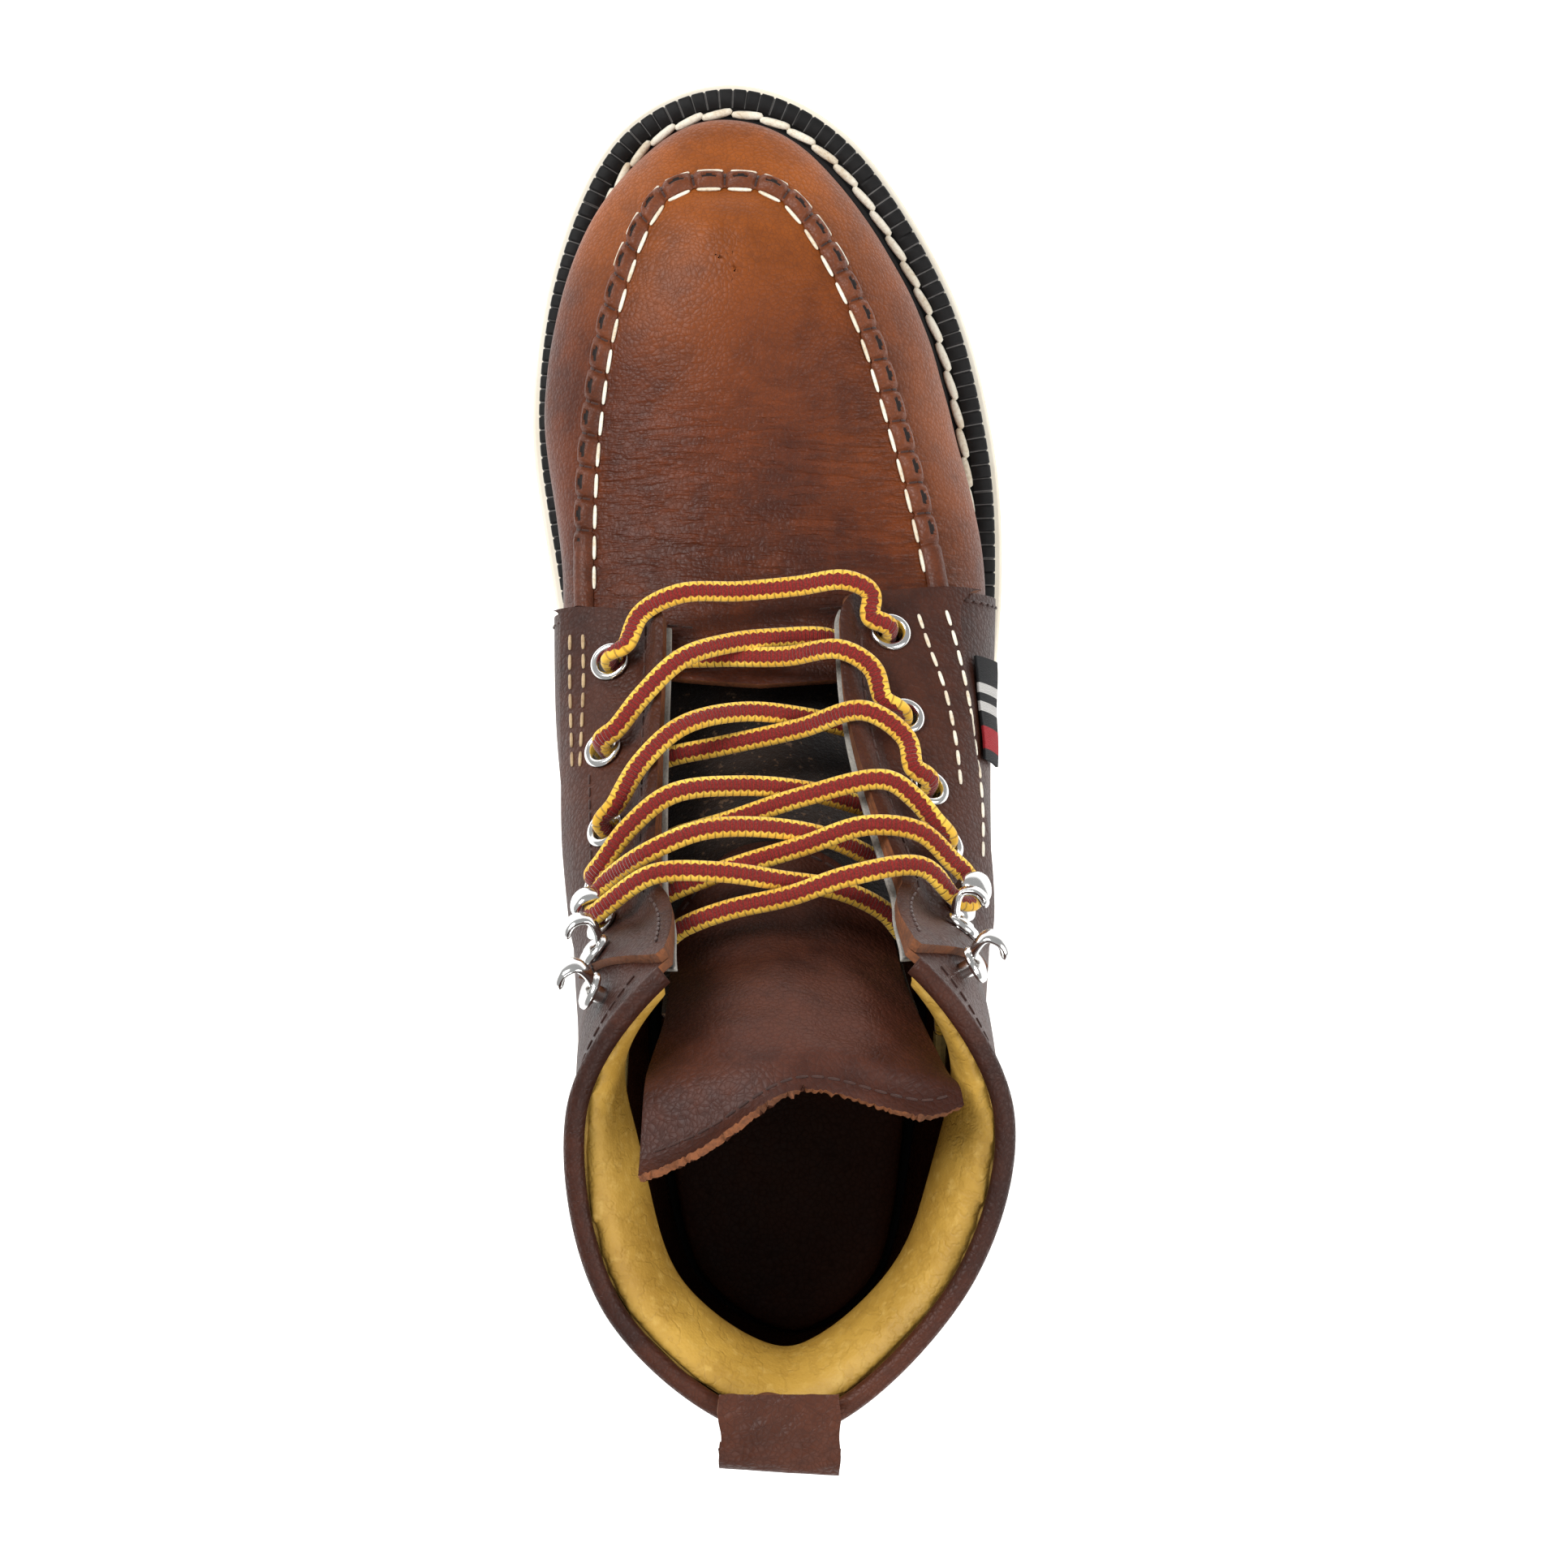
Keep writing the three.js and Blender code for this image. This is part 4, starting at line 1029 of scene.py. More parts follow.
def apronPlace(a, b):
    rises = mixed(0.5, 1.0, b)
    ends = apronEnd(rises)
    turns = mixed(-ends, ends, a)
    base = lastPoint(turns, rises)
    calm = smoothStep(np.linalg.norm(base - np.array(ridge["tip"]), axis=-1), 6, 22)
    out = (creaseDepth(base) + 0.12 * ripple(base, 26, 3)) * calm
    return evenTip(lastOffset(turns, rises, out))


def mergeTip(bm, radius=7, spacing=0.5):  # fewer, rounder faces where all the lines of the toe meet
    tip = Vector(toFrame(ridge["tip"]))
    near = [vertex for vertex in bm.verts if (vertex.co - tip).xy.length < radius * mm]
    bmesh.ops.remove_doubles(bm, verts=near, dist=spacing * mm)


apronGrid = shapedGrid((330, 70), apronPlace, closed=True)
mergeTip(apronGrid)
apron = makePiece("apron", apronGrid, [vampLeather, cutEdge], ["apron"])
thicken(apron, 1.9, cutEdge=True)
wallPlace = lambda a, b: lastOffset(
    mixed(-toe["end"], toe["end"], a), mixed(0.0, 0.5, b), 0.1 * ripple(
        lastPoint(mixed(-4.4, 4.4, a), b * 0.5), 22, 5
    )
)
vampWall = makePiece(
    "vampWall", shapedGrid((330, 48), wallPlace), [vampLeather, cutEdge], ["vamp_wall"]
)
thicken(vampWall, 1.9, cutEdge=True)

# rolled seam band
seamTurns = (-4.15, 4.27)
seamSamples = np.linspace(*seamTurns, 1200)
seamLine = lastPoint(seamSamples, 0.502)
seamReach = np.concatenate([[0], np.cumsum(np.linalg.norm(np.diff(seamLine, axis=0), axis=1))])
seamPitch = 7.4
plainBehind = 44.0  # the band is smooth behind this


def bandOut(a, b):
    turns = mixed(*seamTurns, a)
    reach = np.interp(turns, seamSamples, seamReach)
    y = lastPoint(turns, 0.5)[..., 1]
    ribbed = smoothStep(y, plainBehind - 3, plainBehind + 1)
    phase = (reach / seamPitch) % 1
    gather = np.exp(-(((phase - 0.5) / 0.085) ** 2))
    plump = 1 + 0.14 * np.cos((phase - 0) * 2 * math.pi) * ribbed
    section = np.sin(np.pi * np.clip(b, 0.0, 1.0)) ** 0.62
    out = toe["bandBase"] + toe["bandRise"] * section * (plump - 0.5 * gather * ribbed)
    along = np.minimum(np.abs(phase), np.abs(phase - 1)) * seamPitch
    slotMark = smoothStep(along, 2.1, 1.3) * smoothStep(np.abs(b - 0.47), 0.17, 0.08)
    return turns, out - 0.75 * slotMark * ribbed, gather * ribbed


def bandPlace(a, b):
    turns, out, gather = bandOut(a, b)
    half = toe["bandHalf"] * (1 - 0.2 * gather)
    rises = 0.502 + (b - 0.5) * 2 * half * risePerMm(turns, np.full(len(turns), 0.502))
    return lastOffset(turns, rises, out)


def inSlot(a, b):  # the punched oval in each gathered part
    turns = mixed(*seamTurns, a)
    phase = (np.interp(turns, seamSamples, seamReach) / seamPitch) % 1
    along = np.minimum(phase, 1 - phase) * seamPitch
    ahead = lastPoint(turns, 0.5)[..., 1] > plainBehind
    return ((along / 1.75) ** 2 + ((b - 0.47) / 0.115) ** 2 < 1) & ahead


bandGrid = shapedGrid((1050, 26), bandPlace)
# the slot faces take the painted shade finish
paintFaces(bandGrid, inSlot)
seamBand = makePiece("seamBand", bandGrid, [bandLeather, slotShade], ["moc_seam_band"])
thicken(seamBand, 0.5, edge=0)


def seamOffset(away, out, first=0.0, last=1.0, samples=900):  # beside the band, away towards the middle
    turns = mixed(*seamTurns, np.linspace(first, last, samples))
    rises = 0.502 + away * risePerMm(turns, np.full(samples, 0.502))
    return trackOn(turns, rises, out)


bandStitch = {"length": 5.9, "gap": 1.5, "width": 0.95, "height": 0.85}
parts = int(seamReach[-1] / seamPitch)
partTurns = np.interp(np.arange(parts + 1) * seamPitch - 0.5 * seamPitch, seamReach, seamSamples)
partShares = (partTurns - seamTurns[0]) / (seamTurns[1] - seamTurns[0])
frontFirst, frontLast = (int(np.argmin(np.abs(partTurns - turn))) for turn in (-1.75, 1.9))
innerRow = seamOffset(3.0, 0.4, partShares[1], partShares[-1])
outerRow = seamOffset(-2.85, 0.4, partShares[frontFirst], partShares[frontLast])
whiteRows = [
    (*innerRow, {**bandStitch, "count": parts - 1}),
    (*outerRow, {**bandStitch, "count": frontLast - frontFirst}),
]
crossRows = []
for index in range(int(seamReach[-1] / seamPitch) + 1):
    reach = (index + 0.5) * seamPitch
    if reach > seamReach[-1] - 1:
        continue
    turn = float(np.interp(reach, seamReach, seamSamples))
    if lastPoint(turn, 0.5)[1] < plainBehind:
        continue
    b = np.linspace(0.06, 0.94, 12)
    a = np.full(12, (turn - seamTurns[0]) / (seamTurns[1] - seamTurns[0]))
    track = bandPlace(a, b)
    normals = lastNormal(np.full(12, turn), np.full(12, 0.5))
    crossRows.append(
        (track + normals * 0.1, normals, {"length": 2.4, "gap": 0.25, "width": 0.75, "height": 0.55})
    )
sewn("seamStitches", whiteRows, whiteThread)
sewn("seamTies", crossRows, darkThread)
print("toe ready")

# ---------- quarters, eyestays and their holes
lacing = {
    "medial": [
        (-33.5, 14), (-34, -6), (-32.6, -23.5), (-32.8, -35.5), (-31.6, -45), (-32.3, -50.3), (-31.8, -57)
    ],
    "lateral": [(27.2, 20.5), (29.9, 1), (34.2, -15), (36.6, -27), (38.7, -40.4), (39, -46.3), (39.5, -52)],
}
eyeletCount = 4
throatEdge = {
    "medial": [(-21.5, 30, 0), (-21.5, 0, 0), (-20, -30, 0), (-18.8, -52, 0)],
    "lateral": [(15.5, 33, 0), (18.5, 2, 0), (26.5, -27, 0), (29, -50, 0)],
}
sides = {
    "medial": {"front": 4.3, "kink": 7.0, "end": 10.0, "sign": 1, "corner": 3.5},
    "lateral": {"front": -4.18, "kink": -7.0, "end": -10.0, "sign": -1, "corner": 8.0},
}
upper = {
    "quarter": 2.3, "quarterThick": 1.8, "stay": 4.7, "stayThick": 2.3, "stayWidth": 0.3, "lift": 5.0,
    "reach": 0.985
}


def edgeX(side, turns):
    front, kink = sides[side]["front"], sides[side]["kink"]
    return splineAt(throatEdge[side], np.clip((turns - front) / (kink - front), 0, 1))[..., 0]


def riseAt(turns, x):
    low, high = np.full(len(turns), 0.4), np.full(len(turns), 1.0)
    outward = np.sign(lastPoint(turns, 0.5)[:, 0])
    for _ in range(24):
        middle = (low + high) / 2
        outside = lastPoint(turns, middle)[:, 0] * outward > x * outward
        low, high = np.where(outside, middle, low), np.where(outside, high, middle)
    return low


def flapTop(side, turns):
    kink, sign, front = sides[side]["kink"], sides[side]["sign"], sides[side]["front"]
    top = np.minimum(riseAt(turns, edgeX(side, turns)), upper["reach"])
    top = np.where(sign * turns >= sign * kink, upper["reach"], top)
    corner = sides[side]["corner"]
    ahead = np.abs(turns - front) * 38.0
    rounding = corner * (1 - np.sqrt(np.clip(1 - np.clip(1 - ahead / corner, 0, 1) ** 2, 0, 1)))
    return top - rounding * risePerMm(turns, top)


topTables = {}
for side, facts in sides.items():
    turns = np.linspace(min(facts["front"], facts["end"]), max(facts["front"], facts["end"]), 700)
    topTables[side] = (turns, flapTop(side, turns))


def topAt(side, turns):
    return np.interp(turns, *topTables[side])


def liftAt(side, turns, rises):
    kink, sign = sides[side]["kink"], sides[side]["sign"]
    inward = np.abs(lastPoint(turns, rises)[:, 0] - edgeX(side, turns))
    return upper["lift"] * smoothStep(inward, 7, 1) * (
        1 - smoothStep(sign * turns, sign * kink - 0.8, sign * kink)
    )


def flapPlace(side, span, rises, out):
    def place(a, b):
        turns = mixed(*sorted(span), a)
        low, high = rises(turns)
        at = mixed(low, high, b)
        base = lastPoint(turns, at)
        return lastOffset(turns, at, out + liftAt(side, turns, at) + 0.14 * ripple(base, 30, 8))

    return place


def flapTrack(side, span, below, out, samples=300):  # a track at a distance in mm below the flap's edge
    turns = np.linspace(*span, samples)
    top = topAt(side, turns)
    rises = top - below * risePerMm(turns, top)
    return lastOffset(turns, rises, out + liftAt(side, turns, rises)), lastNormal(turns, rises)


def drillBits(name, side, radius):
    bm = bmesh.new()
    for index, (x, y) in enumerate(lacing[side]):
        point, axes = frameOn(x, y)
        matrix = Matrix([[*(axes[row]), toFrame(point)[row]] for row in range(3)] + [[0, 0, 0, 1]])
        size = radius if index < eyeletCount else 1.6
        bmesh.ops.create_cone(
            bm, cap_ends=True, segments=20, radius1=size * mm, radius2=size * mm, depth=24 * mm, matrix=matrix
        )
    mesh = bpy.data.meshes.new(name)
    bm.to_mesh(mesh)
    bm.free()
    bits = bpy.data.objects.new(name, mesh)
    bpy.context.scene.collection.objects.link(bits)
    return bits


def punch(piece, side, radius=3.3):
    bits = drillBits("bits", side, radius)
    cut = piece.modifiers.new("holes", "BOOLEAN")
    cut.object = bits
    cut.solver = "EXACT"
    applyAll(piece)
    bpy.data.objects.remove(bits)
    return piece


made = {}
for side, facts in sides.items():
    label = side.capitalize()
    front, kink, end, sign = facts["front"], facts["kink"], facts["end"], facts["sign"]
    quarterRises = lambda turns, side=side: (np.full(len(turns), 0.015), topAt(side, turns))
    quarterGrid = shapedGrid((300, 110), flapPlace(side, (front, end), quarterRises, upper["quarter"]))
    quarter = makePiece(
        "quarter" + label, quarterGrid, [quarterLeather, cutEdge], ["quarter_" + side]
    )
    thicken(quarter, upper["quarterThick"], cutEdge=True)
    punch(quarter, side)
    stayRises = lambda turns, side=side: (topAt(side, turns) - upper["stayWidth"], topAt(side, turns))
    stayGrid = shapedGrid((220, 60), flapPlace(side, (front, kink), stayRises, upper["stay"]))
    stay = makePiece(
        "eyestay" + label, stayGrid, [quarterLeather, cutEdge], ["eyestay_" + side]
    )
    thicken(stay, upper["stayThick"], edge=0.35, cutEdge=True)
    punch(stay, side)

    def facingRises(turns, side=side):
        top = topAt(side, turns)
        return np.full(len(turns), 0.52), top + 0.9 * risePerMm(turns, top)

    made[side] = [quarter, stay]
    facingSpan = (front + sign * 0.1, kink - sign * 0.05)
    facingGrid = shapedGrid((160, 40), flapPlace(side, facingSpan, facingRises, -0.2))
    facing = makePiece("facing" + label, facingGrid, [greyTextile], ["facing_lining_" + side])
    thicken(facing, 0.9, edge=0.2)

fine = {"length": 2.6, "gap": 0.75, "width": 0.6, "height": 0.5}
bold = {"length": 3.9, "gap": 1.1, "width": 0.95, "height": 0.75}
lateralRows = [
    (*trackBelow([(34.2, 27.5), (36.6, 20), (40.2, 9.5), (42.4, -2), (43.3, -12)], made["lateral"]), bold),
    (
        *trackBelow([(40.6, 28.5), (43, 20), (45.3, 9), (47.2, -4), (48.2, -16), (48, -28)], made["lateral"]),
        bold
    ),
]
medialRows = [
    (*trackBelow([(-41.6, 23), (-41.2, 12), (-41.4, 0), (-41.6, -8)], made["medial"]), bold),
    (*trackBelow([(-44.6, 23), (-44.4, 12), (-43.8, 0), (-43.4, -8)], made["medial"]), bold),
]
tonalRows = [
    (*flapTrack("medial", (4.42, 6.9), 4.2, 4.85), fine),
    (*flapTrack("lateral", (-4.5, -6.9), 4.2, 4.85), fine),
    (*trackBelow([(-39.4, -9), (-38.6, -26), (-37.2, -42), (-36.6, -58)], made["medial"]), fine),
    (*trackOn(np.full(200, 4.36), np.linspace(0.16, 0.83, 200), 2.45), fine),
    (*trackOn(np.full(200, -4.24), np.linspace(0.16, 0.83, 200), 2.45), fine),
    (*trackOn(np.linspace(8.0, 9.0, 200), np.linspace(0.3, 0.9, 200), 2.4), fine),
    (*trackOn(np.linspace(-8.0, -9.0, 200), np.linspace(0.3, 0.9, 200), 2.4), fine),
    (*trackOn(np.linspace(7.1, 12.9, 900), np.full(900, 0.93), 2.45), fine),
]
sewn("lateralStitches", lateralRows, whiteThread)
sewn("medialStitches", medialRows, tanThread)
sewn("tonalStitches", tonalRows, darkThread)

backstayGrid = shapedGrid(
    (50, 160), lambda a, b: lastOffset(
        mixed(9.55, 10.45, a), mixed(0.02, 0.93, b), 3.9 + 0.1 * ripple(np.stack([a, b, b], -1) * 60, 14, 2)
    )
)
backstay = makePiece("backstay", backstayGrid, [quarterLeather, cutEdge], ["backstay"])
thicken(backstay, 1.6, edge=0.3, cutEdge=True)
backRows = [
    (
        *trackOn(np.full(300, turn), np.linspace(0.04, 0.92, 300), 4.0), fine
    ) for turn in (9.6, 9.66, 10.34, 10.4)
]
sewn("backstayStitches", backRows, darkThread)
print("quarters ready")

# ---------- collar
collar = {
    "turns": (7.06, 12.94), "rimOut": 2.2, "rimMiddle": 0.7, "rimHeight": 2.1, "padEnds": 5.6,
    "padThick": 11.0
}


def rimPlace(a, b):
    turns = mixed(*collar["turns"], a)
    angle = -2 * math.pi * b
    base = lastOffset(turns, np.ones(len(turns)), collar["rimMiddle"] + collar["rimOut"] * np.cos(angle))
    base[:, 2] += 1.5 + collar["rimHeight"] * np.sin(angle) + 0.25 * ripple(base, 40, 12)
    return base


rimGrid = shapedGrid((420, 22), rimPlace, closed=True)
closeEnds(rimGrid)
rim = makePiece("collarRim", outwards(rimGrid), [quarterLeather], ["collar_rim"])


def padPlace(a, b):  # closed round: up the inner face, back down the outer one
    turns = mixed(*collar["turns"], a)
    inner = b < 0.5
    up = np.where(inner, b * 2, 2 - b * 2)
    rises = mixed(0.62, 0.99, up)
    depth = mixed(collar["padEnds"], collar["padThick"], smoothStep(np.sin(np.pi * a), 0.2, 0.7))
    swell = depth * np.sin(np.pi * np.clip(up, 0, 1)) ** 0.55
    return lastOffset(turns, rises, np.where(inner, -1.9 - swell * 0.9, -1.1))


padGrid = shapedGrid((200, 40), padPlace, closed=True)
closeEnds(padGrid)
pad = makePiece("collarLining", outwards(padGrid), [yellowLining], ["collar_lining"])
puff = {"voxel": 1.9, "pressure": 3.0, "frames": 26, "grow": 0.13, "cap": 3.4, "outCap": 0.1}


def keepPart(piece, name, weights):
    group = piece.vertex_groups.new(name=name)
    for index, weight in enumerate(weights):
        if weight > 0.01:
            group.add([index], float(weight), "REPLACE")
    return group


def puffUp(piece):  # blows the pad up against its seams, so that the leather wrinkles
    remesh = piece.modifiers.new("even", "REMESH")
    remesh.mode = "VOXEL"
    remesh.voxel_size = puff["voxel"] * mm
    applyAll(piece, 0)
    start = np.array([vertex.co for vertex in piece.data.vertices]) / mm - bootShift
    nearest = [lastTree.find_nearest(Vector(p)) for p in start]
    outward = np.array([n[1] for n in nearest])
    depth = np.array([n[3] for n in nearest])
    heel = smoothStep(start[:, 1], -95, -128)
    held = smoothStep(depth, 2.1, 1.2)
    keepPart(piece, "held", np.clip(held, 0, 1))
    keepPart(piece, "loose", 0.25 + 0.75 * heel)
    cloth = piece.modifiers.new("puff", "CLOTH")
    facts = cloth.settings
    facts.vertex_group_mass = "held"
    facts.use_pressure = True
    facts.uniform_pressure_force = puff["pressure"]
    facts.shrink_min = 0.0
    facts.shrink_max = -puff["grow"]
    facts.vertex_group_shrink = "loose"
    facts.effector_weights.gravity = 0
    facts.quality = 6
    facts.tension_stiffness = facts.compression_stiffness = 18
    facts.bending_stiffness = 0.3
    cloth.collision_settings.use_collision = False
    scene = bpy.context.scene
    for step in range(1, puff["frames"] + 1):
        scene.frame_set(step)
    applyAll(piece, 0)
    scene.frame_set(1)
    moved = np.array([vertex.co for vertex in piece.data.vertices]) / mm - bootShift - start
    moved *= np.minimum(1, puff["cap"] / np.maximum(np.linalg.norm(moved, axis=1), 1e-6))[:, None]
    outPart = np.einsum("ij,ij->i", moved, outward)
    moved -= outward * np.maximum(outPart - puff["outCap"], 0)[:, None]
    for vertex, point in zip(piece.data.vertices, toFrame(start + moved)):
        vertex.co = point
    smooth = piece.modifiers.new("soft", "SUBSURF")
    smooth.levels = smooth.render_levels = 1
    applyAll(piece, 0)
    piece.vertex_groups.clear()
    piece.data.polygons.foreach_set("use_smooth", [True] * len(piece.data.polygons))


puffUp(pad)
print("collar ready")

# shaft and foot linings, seen through the opening
shaftTop = lambda turns: mixed(0.73, 0.48, smoothStep(np.abs(turns - 10), 2.6, 3.6))


def shaftPlace(a, b):
    turns = mixed(5.1, 14.9, a)
    rises = mixed(0.0, shaftTop(turns), b)
    return lastOffset(turns, rises, -2.7)


shaft = makePiece(
    "shaftLining", shapedGrid((200, 60), shaftPlace), [innerLeather], ["shaft_lining"]
)
thicken(shaft, 1.0, edge=0.2)
footbedLow = lambda y: upperBase(y) + 2 * sole["gap"] + 2.2
footbed = soleSlab(
    "footbedCover", footbedLow, lambda y: footbedLow(y) + 4.0, 0, 1.2, innerLeather, [
        "footbed"
    ], (),
    lambda y: mixed(12.2, 21.5, smoothStep(y, -30, 60)),
)
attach(footbed, "footbed")

# ---------- tongue
tongueLine = [
    (-3, 17, 63), (-1, 0, 73), (1.5, -22, 92), (4, -44, 116), (6, -57, 145), (7, -68, 163), (7.5, -79, 170)
]
tongueWidths = [24, 24, 25, 26, 29, 32, 34]
tongueDrops = [7, 7, 8, 9, 11, 10, 9]
tongueTopEdge = [
    (-31.1, -88.7), (-22, -88), (-11.3, -85.3), (-1.9, -80), (6.4, -75.9), (15.1, -75.9), (25.2, -78.3),
    (35.3, -79.3), (44, -73.8)
]


def tonguePoint(u, v, out, past=0.0):  # u across from the outer side, v toe to top, past beyond the end
    at = splineAt(tongueLine, v)
    along = unit(splineAt(tongueLine, v + 1e-4) - splineAt(tongueLine, v - 1e-4))
    normal = unit(np.stack([0 * v, along[:, 2], -along[:, 1]], -1))
    across = 2 * u - 1
    widths = splineAt(np.array([(w, 0) for w in tongueWidths], float), v)[:, 0]
    drops = splineAt(np.array([(d, 0) for d in tongueDrops], float), v)[:, 0]
    at[:, 0] -= across * widths
    return at + normal * (out - drops * across**2)[:, None] + along * np.asarray(past, float)[..., None]


tongueBaseGrid = shapedGrid(
    (70, 150), lambda a,
    b: tonguePoint(a, mixed(0.0, 0.6, b), 1.6 + 0.2 * ripple(np.stack([a * 48, b * 90, b], -1), 18, 4))
)
tongueBase = makePiece("tongueBase", tongueBaseGrid, [suede], ["tongue_base"])
thicken(tongueBase, 1.6, edge=0.3)


def tongueLeatherPlace(a, b):
    across = 2 * a - 1
    start = 0.365 + 0.085 * np.abs(across) ** 2.2
    slim = mixed(0.95, 1.0, smoothStep(b, 0.3, 0.6))
    u = 0.5 + (a - 0.5) * slim
    v = mixed(start, 1.0, b)
    ends = np.array(tongueTopEdge)
    x = 7.5 - across * 34
    wanted = sum(np.interp(x + shift, ends[:, 0], ends[:, 1]) for shift in (-4, -2, 0, 2, 4)) / 5
    past = (-79 - wanted) / 0.84 * smoothStep(b, 0.62, 1.0)
    flat = np.stack([across * 30, b * 90, 0 * b], -1)
    wave = 0.55 * ripple(flat, 26, 6) + 1.1 * smoothStep(b, 0.7, 1) * np.sin(across * 5 + 0.6)
    dip = -1.3 * np.exp(-(((across + 0.25) / 0.22) ** 2) - ((b - 0.62) / 0.14) ** 2)
    edgeFray = 0.35 * ripple(flat * 6, 7, 11) * smoothStep(b, 0.97, 1.0)
    return tonguePoint(u, v, 3.4 + wave + dip, past + edgeFray)


tongueGrid = shapedGrid((130, 220), tongueLeatherPlace)
tonguePiece = makePiece(
    "tongueLeather", tongueGrid, [tongueLeather, cutEdge], [
        "tongue_facing", "tongue_top"
    ], ride=False
)
thicken(tonguePiece, 1.7, edge=0.35, cutEdge=True)
foldAt = np.array([6.0, -59.4, 149.5])
tuple(
        toFrame(foldAt + (0, 3, -9))
    )
tuple(toFrame(foldAt + (0, -4, 9)))
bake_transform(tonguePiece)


def tongueTrack(a, b, out):
    step = 0.01
    point = tongueLeatherPlace(a, b)
    dx = tongueLeatherPlace(a + step, b) - tongueLeatherPlace(a - step, b)
    dy = tongueLeatherPlace(a, np.minimum(b + step, 1)) - tongueLeatherPlace(a, np.maximum(b - step, 0))
    normals = unit(np.cross(dx, dy))
    return point + normals * out, normals


tongueRows = [(*tongueTrack(np.linspace(0.04, 0.96, 300), np.full(300, 0.925), 0.12), fine)]
sewn("tongueTopStitches", tongueRows, darkThread, "tongue_flap")
frontRows = [(*tongueTrack(np.linspace(0.05, 0.95, 260), np.full(260, 0.022), 0.12), fine)]
sewn("tongueFrontStitches", frontRows, darkThread)
print("tongue ready")

# ---------- pull loop
loop = {"root": (-140.5, 163.2), "left": -9.4, "right": 15.6, "thick": 1.8}
loopPath = [
    (-2.5, -0.2), (0, 0), (4, 0.3), (7.5, 0.0), (11.2, -0.8), (13.6, -2.6), (14.2, -5.0), (13.4, -7.6),
    (11.4, -9.3), (9.2, -9.4)
]


def loopPlace(a, b):
    path = splineAt([(0, *p) for p in loopPath], 1 - b)
    skew = (a - 0.5) * 2.6
    x = mixed(loop["left"], loop["right"], a) + 0.35 * ripple(path * 3 + a[:, None] * 9, 30, 3)
    y = loop["root"][0] - path[:, 1] - skew * smoothStep(path[:, 1], 2, 12) * 0.6
    z = loop["root"][1] + path[:, 2] + 0.7 * np.sin(a * math.pi) * smoothStep(path[:, 1], 0, 8)
    z = z + 0.25 * ripple(path * 4 + a[:, None] * 30, 16, 7)
    return np.stack([x, y, z], -1)


loopGrid = shapedGrid((70, 110), loopPlace)
pullLoop = makePiece(
    "pullLoop", loopGrid, [quarterLeather, cutEdge], ["pull_loop"], "pull_loop"
)
thicken(pullLoop, loop["thick"], edge=0.3, cutEdge=True)

# side tag, standing off a little more towards its lower edge
tagGrid = shapedGrid(
    (40, 24), lambda a,
    b: lastOffset(mixed(-5.2, -4.6, a), mixed(0.32, 0.44, b), 3.6 + 0.5 * (1 - b) + 0.15 * np.sin(a * 9))
)
sideTag = makePiece("sideTag", tagGrid, [tagWeave], ["side_tag"], "side_tag")
thicken(sideTag, 0.7, edge=0.15)


# ---------- metal fittings
def turned(bm, profile, steps=44):  # a ring or a button from its profile (radius, height)
    verts = [bm.verts.new((radius, 0, height)) for radius, height in profile]
    edges = [bm.edges.new(pair) for pair in zip(verts, verts[1:])]
    bmesh.ops.spin(
        bm, geom=verts + edges, axis=(0, 0, 1), cent=(0, 0, 0), steps=steps, angle=2 * math.pi, use_merge=True
    )
    bmesh.ops.remove_doubles(bm, verts=bm.verts[:], dist=1e-4)


def setOn(bm, x, y):  # moves a shape made round the origin, in mm, to a lacing hole
    point, axes = frameOn(x, y)
    for vertex in bm.verts:
        vertex.co = toFrame(point + axes @ np.array(vertex.co))


def arc(middle, radius, start, end, count=7):
    angles = np.radians(np.linspace(start, end, count))
    return [(middle[0] + radius * math.cos(t), middle[1] + radius * math.sin(t)) for t in angles]


eyelet = {"hole": 2.75, "barrel": 3.15, "face": upper["stay"]}
eyeletProfile = (
    [(eyelet["hole"], -2.2), (eyelet["hole"], eyelet["face"])]
    + arc((3.75, eyelet["face"] + 0.35), 0.95, 170, 20, 9)
    + arc((4.2, eyelet["face"] + 0.35), 0.3, 0, -80, 4)
    + [(eyelet["barrel"], eyelet["face"] + 0.02), (eyelet["barrel"], -2.2), (eyelet["hole"], -2.2)]
)


def tubeAlong(path, ups, halfWidths, halfHeights):  # an oval bar along a path, in mm
    path, ups = np.asarray(path, float), np.asarray(ups, float)
    tangents = unit(np.gradient(path, axis=0))
    ups = unit(ups - tangents * np.einsum("ij,ij->i", ups, tangents)[:, None])
    across = np.cross(tangents, ups)
    steps = len(path) - 1

    def place(a, b):
        at = np.round(a * steps).astype(int)
        angle = b * 2 * math.pi
        wide = (halfWidths[at] * np.cos(angle))[:, None]
        high = (halfHeights[at] * np.sin(angle))[:, None]
        return path[at] + across[at] * wide + ups[at] * high

    return steps, place


hookShape = {
    "arm": [(-1.2, 0, 0.5), (-3.6, 0, 3.2), (-4.6, 0, 6.2), (-2.8, 0, 8.2), (-0.4, 0, 8.3), (1.7, 0, 7.0)],
    "width": [2.0, 2.0, 2.3, 3.1, 3.5, 2.9],
    "height": [1.0, 1.0, 1.0, 1.15, 1.25, 1.1],
    "base": [
        (0.01, 2.5), (1.6, 2.5), (2.2, 2.1), (3.4, 1.9), (4.1, 1.3), (4.2, 0.6), (4.0, 0.3), (1.9, 0.2),
        (1.9, -6.9), (0.01, -6.9)
    ],
}


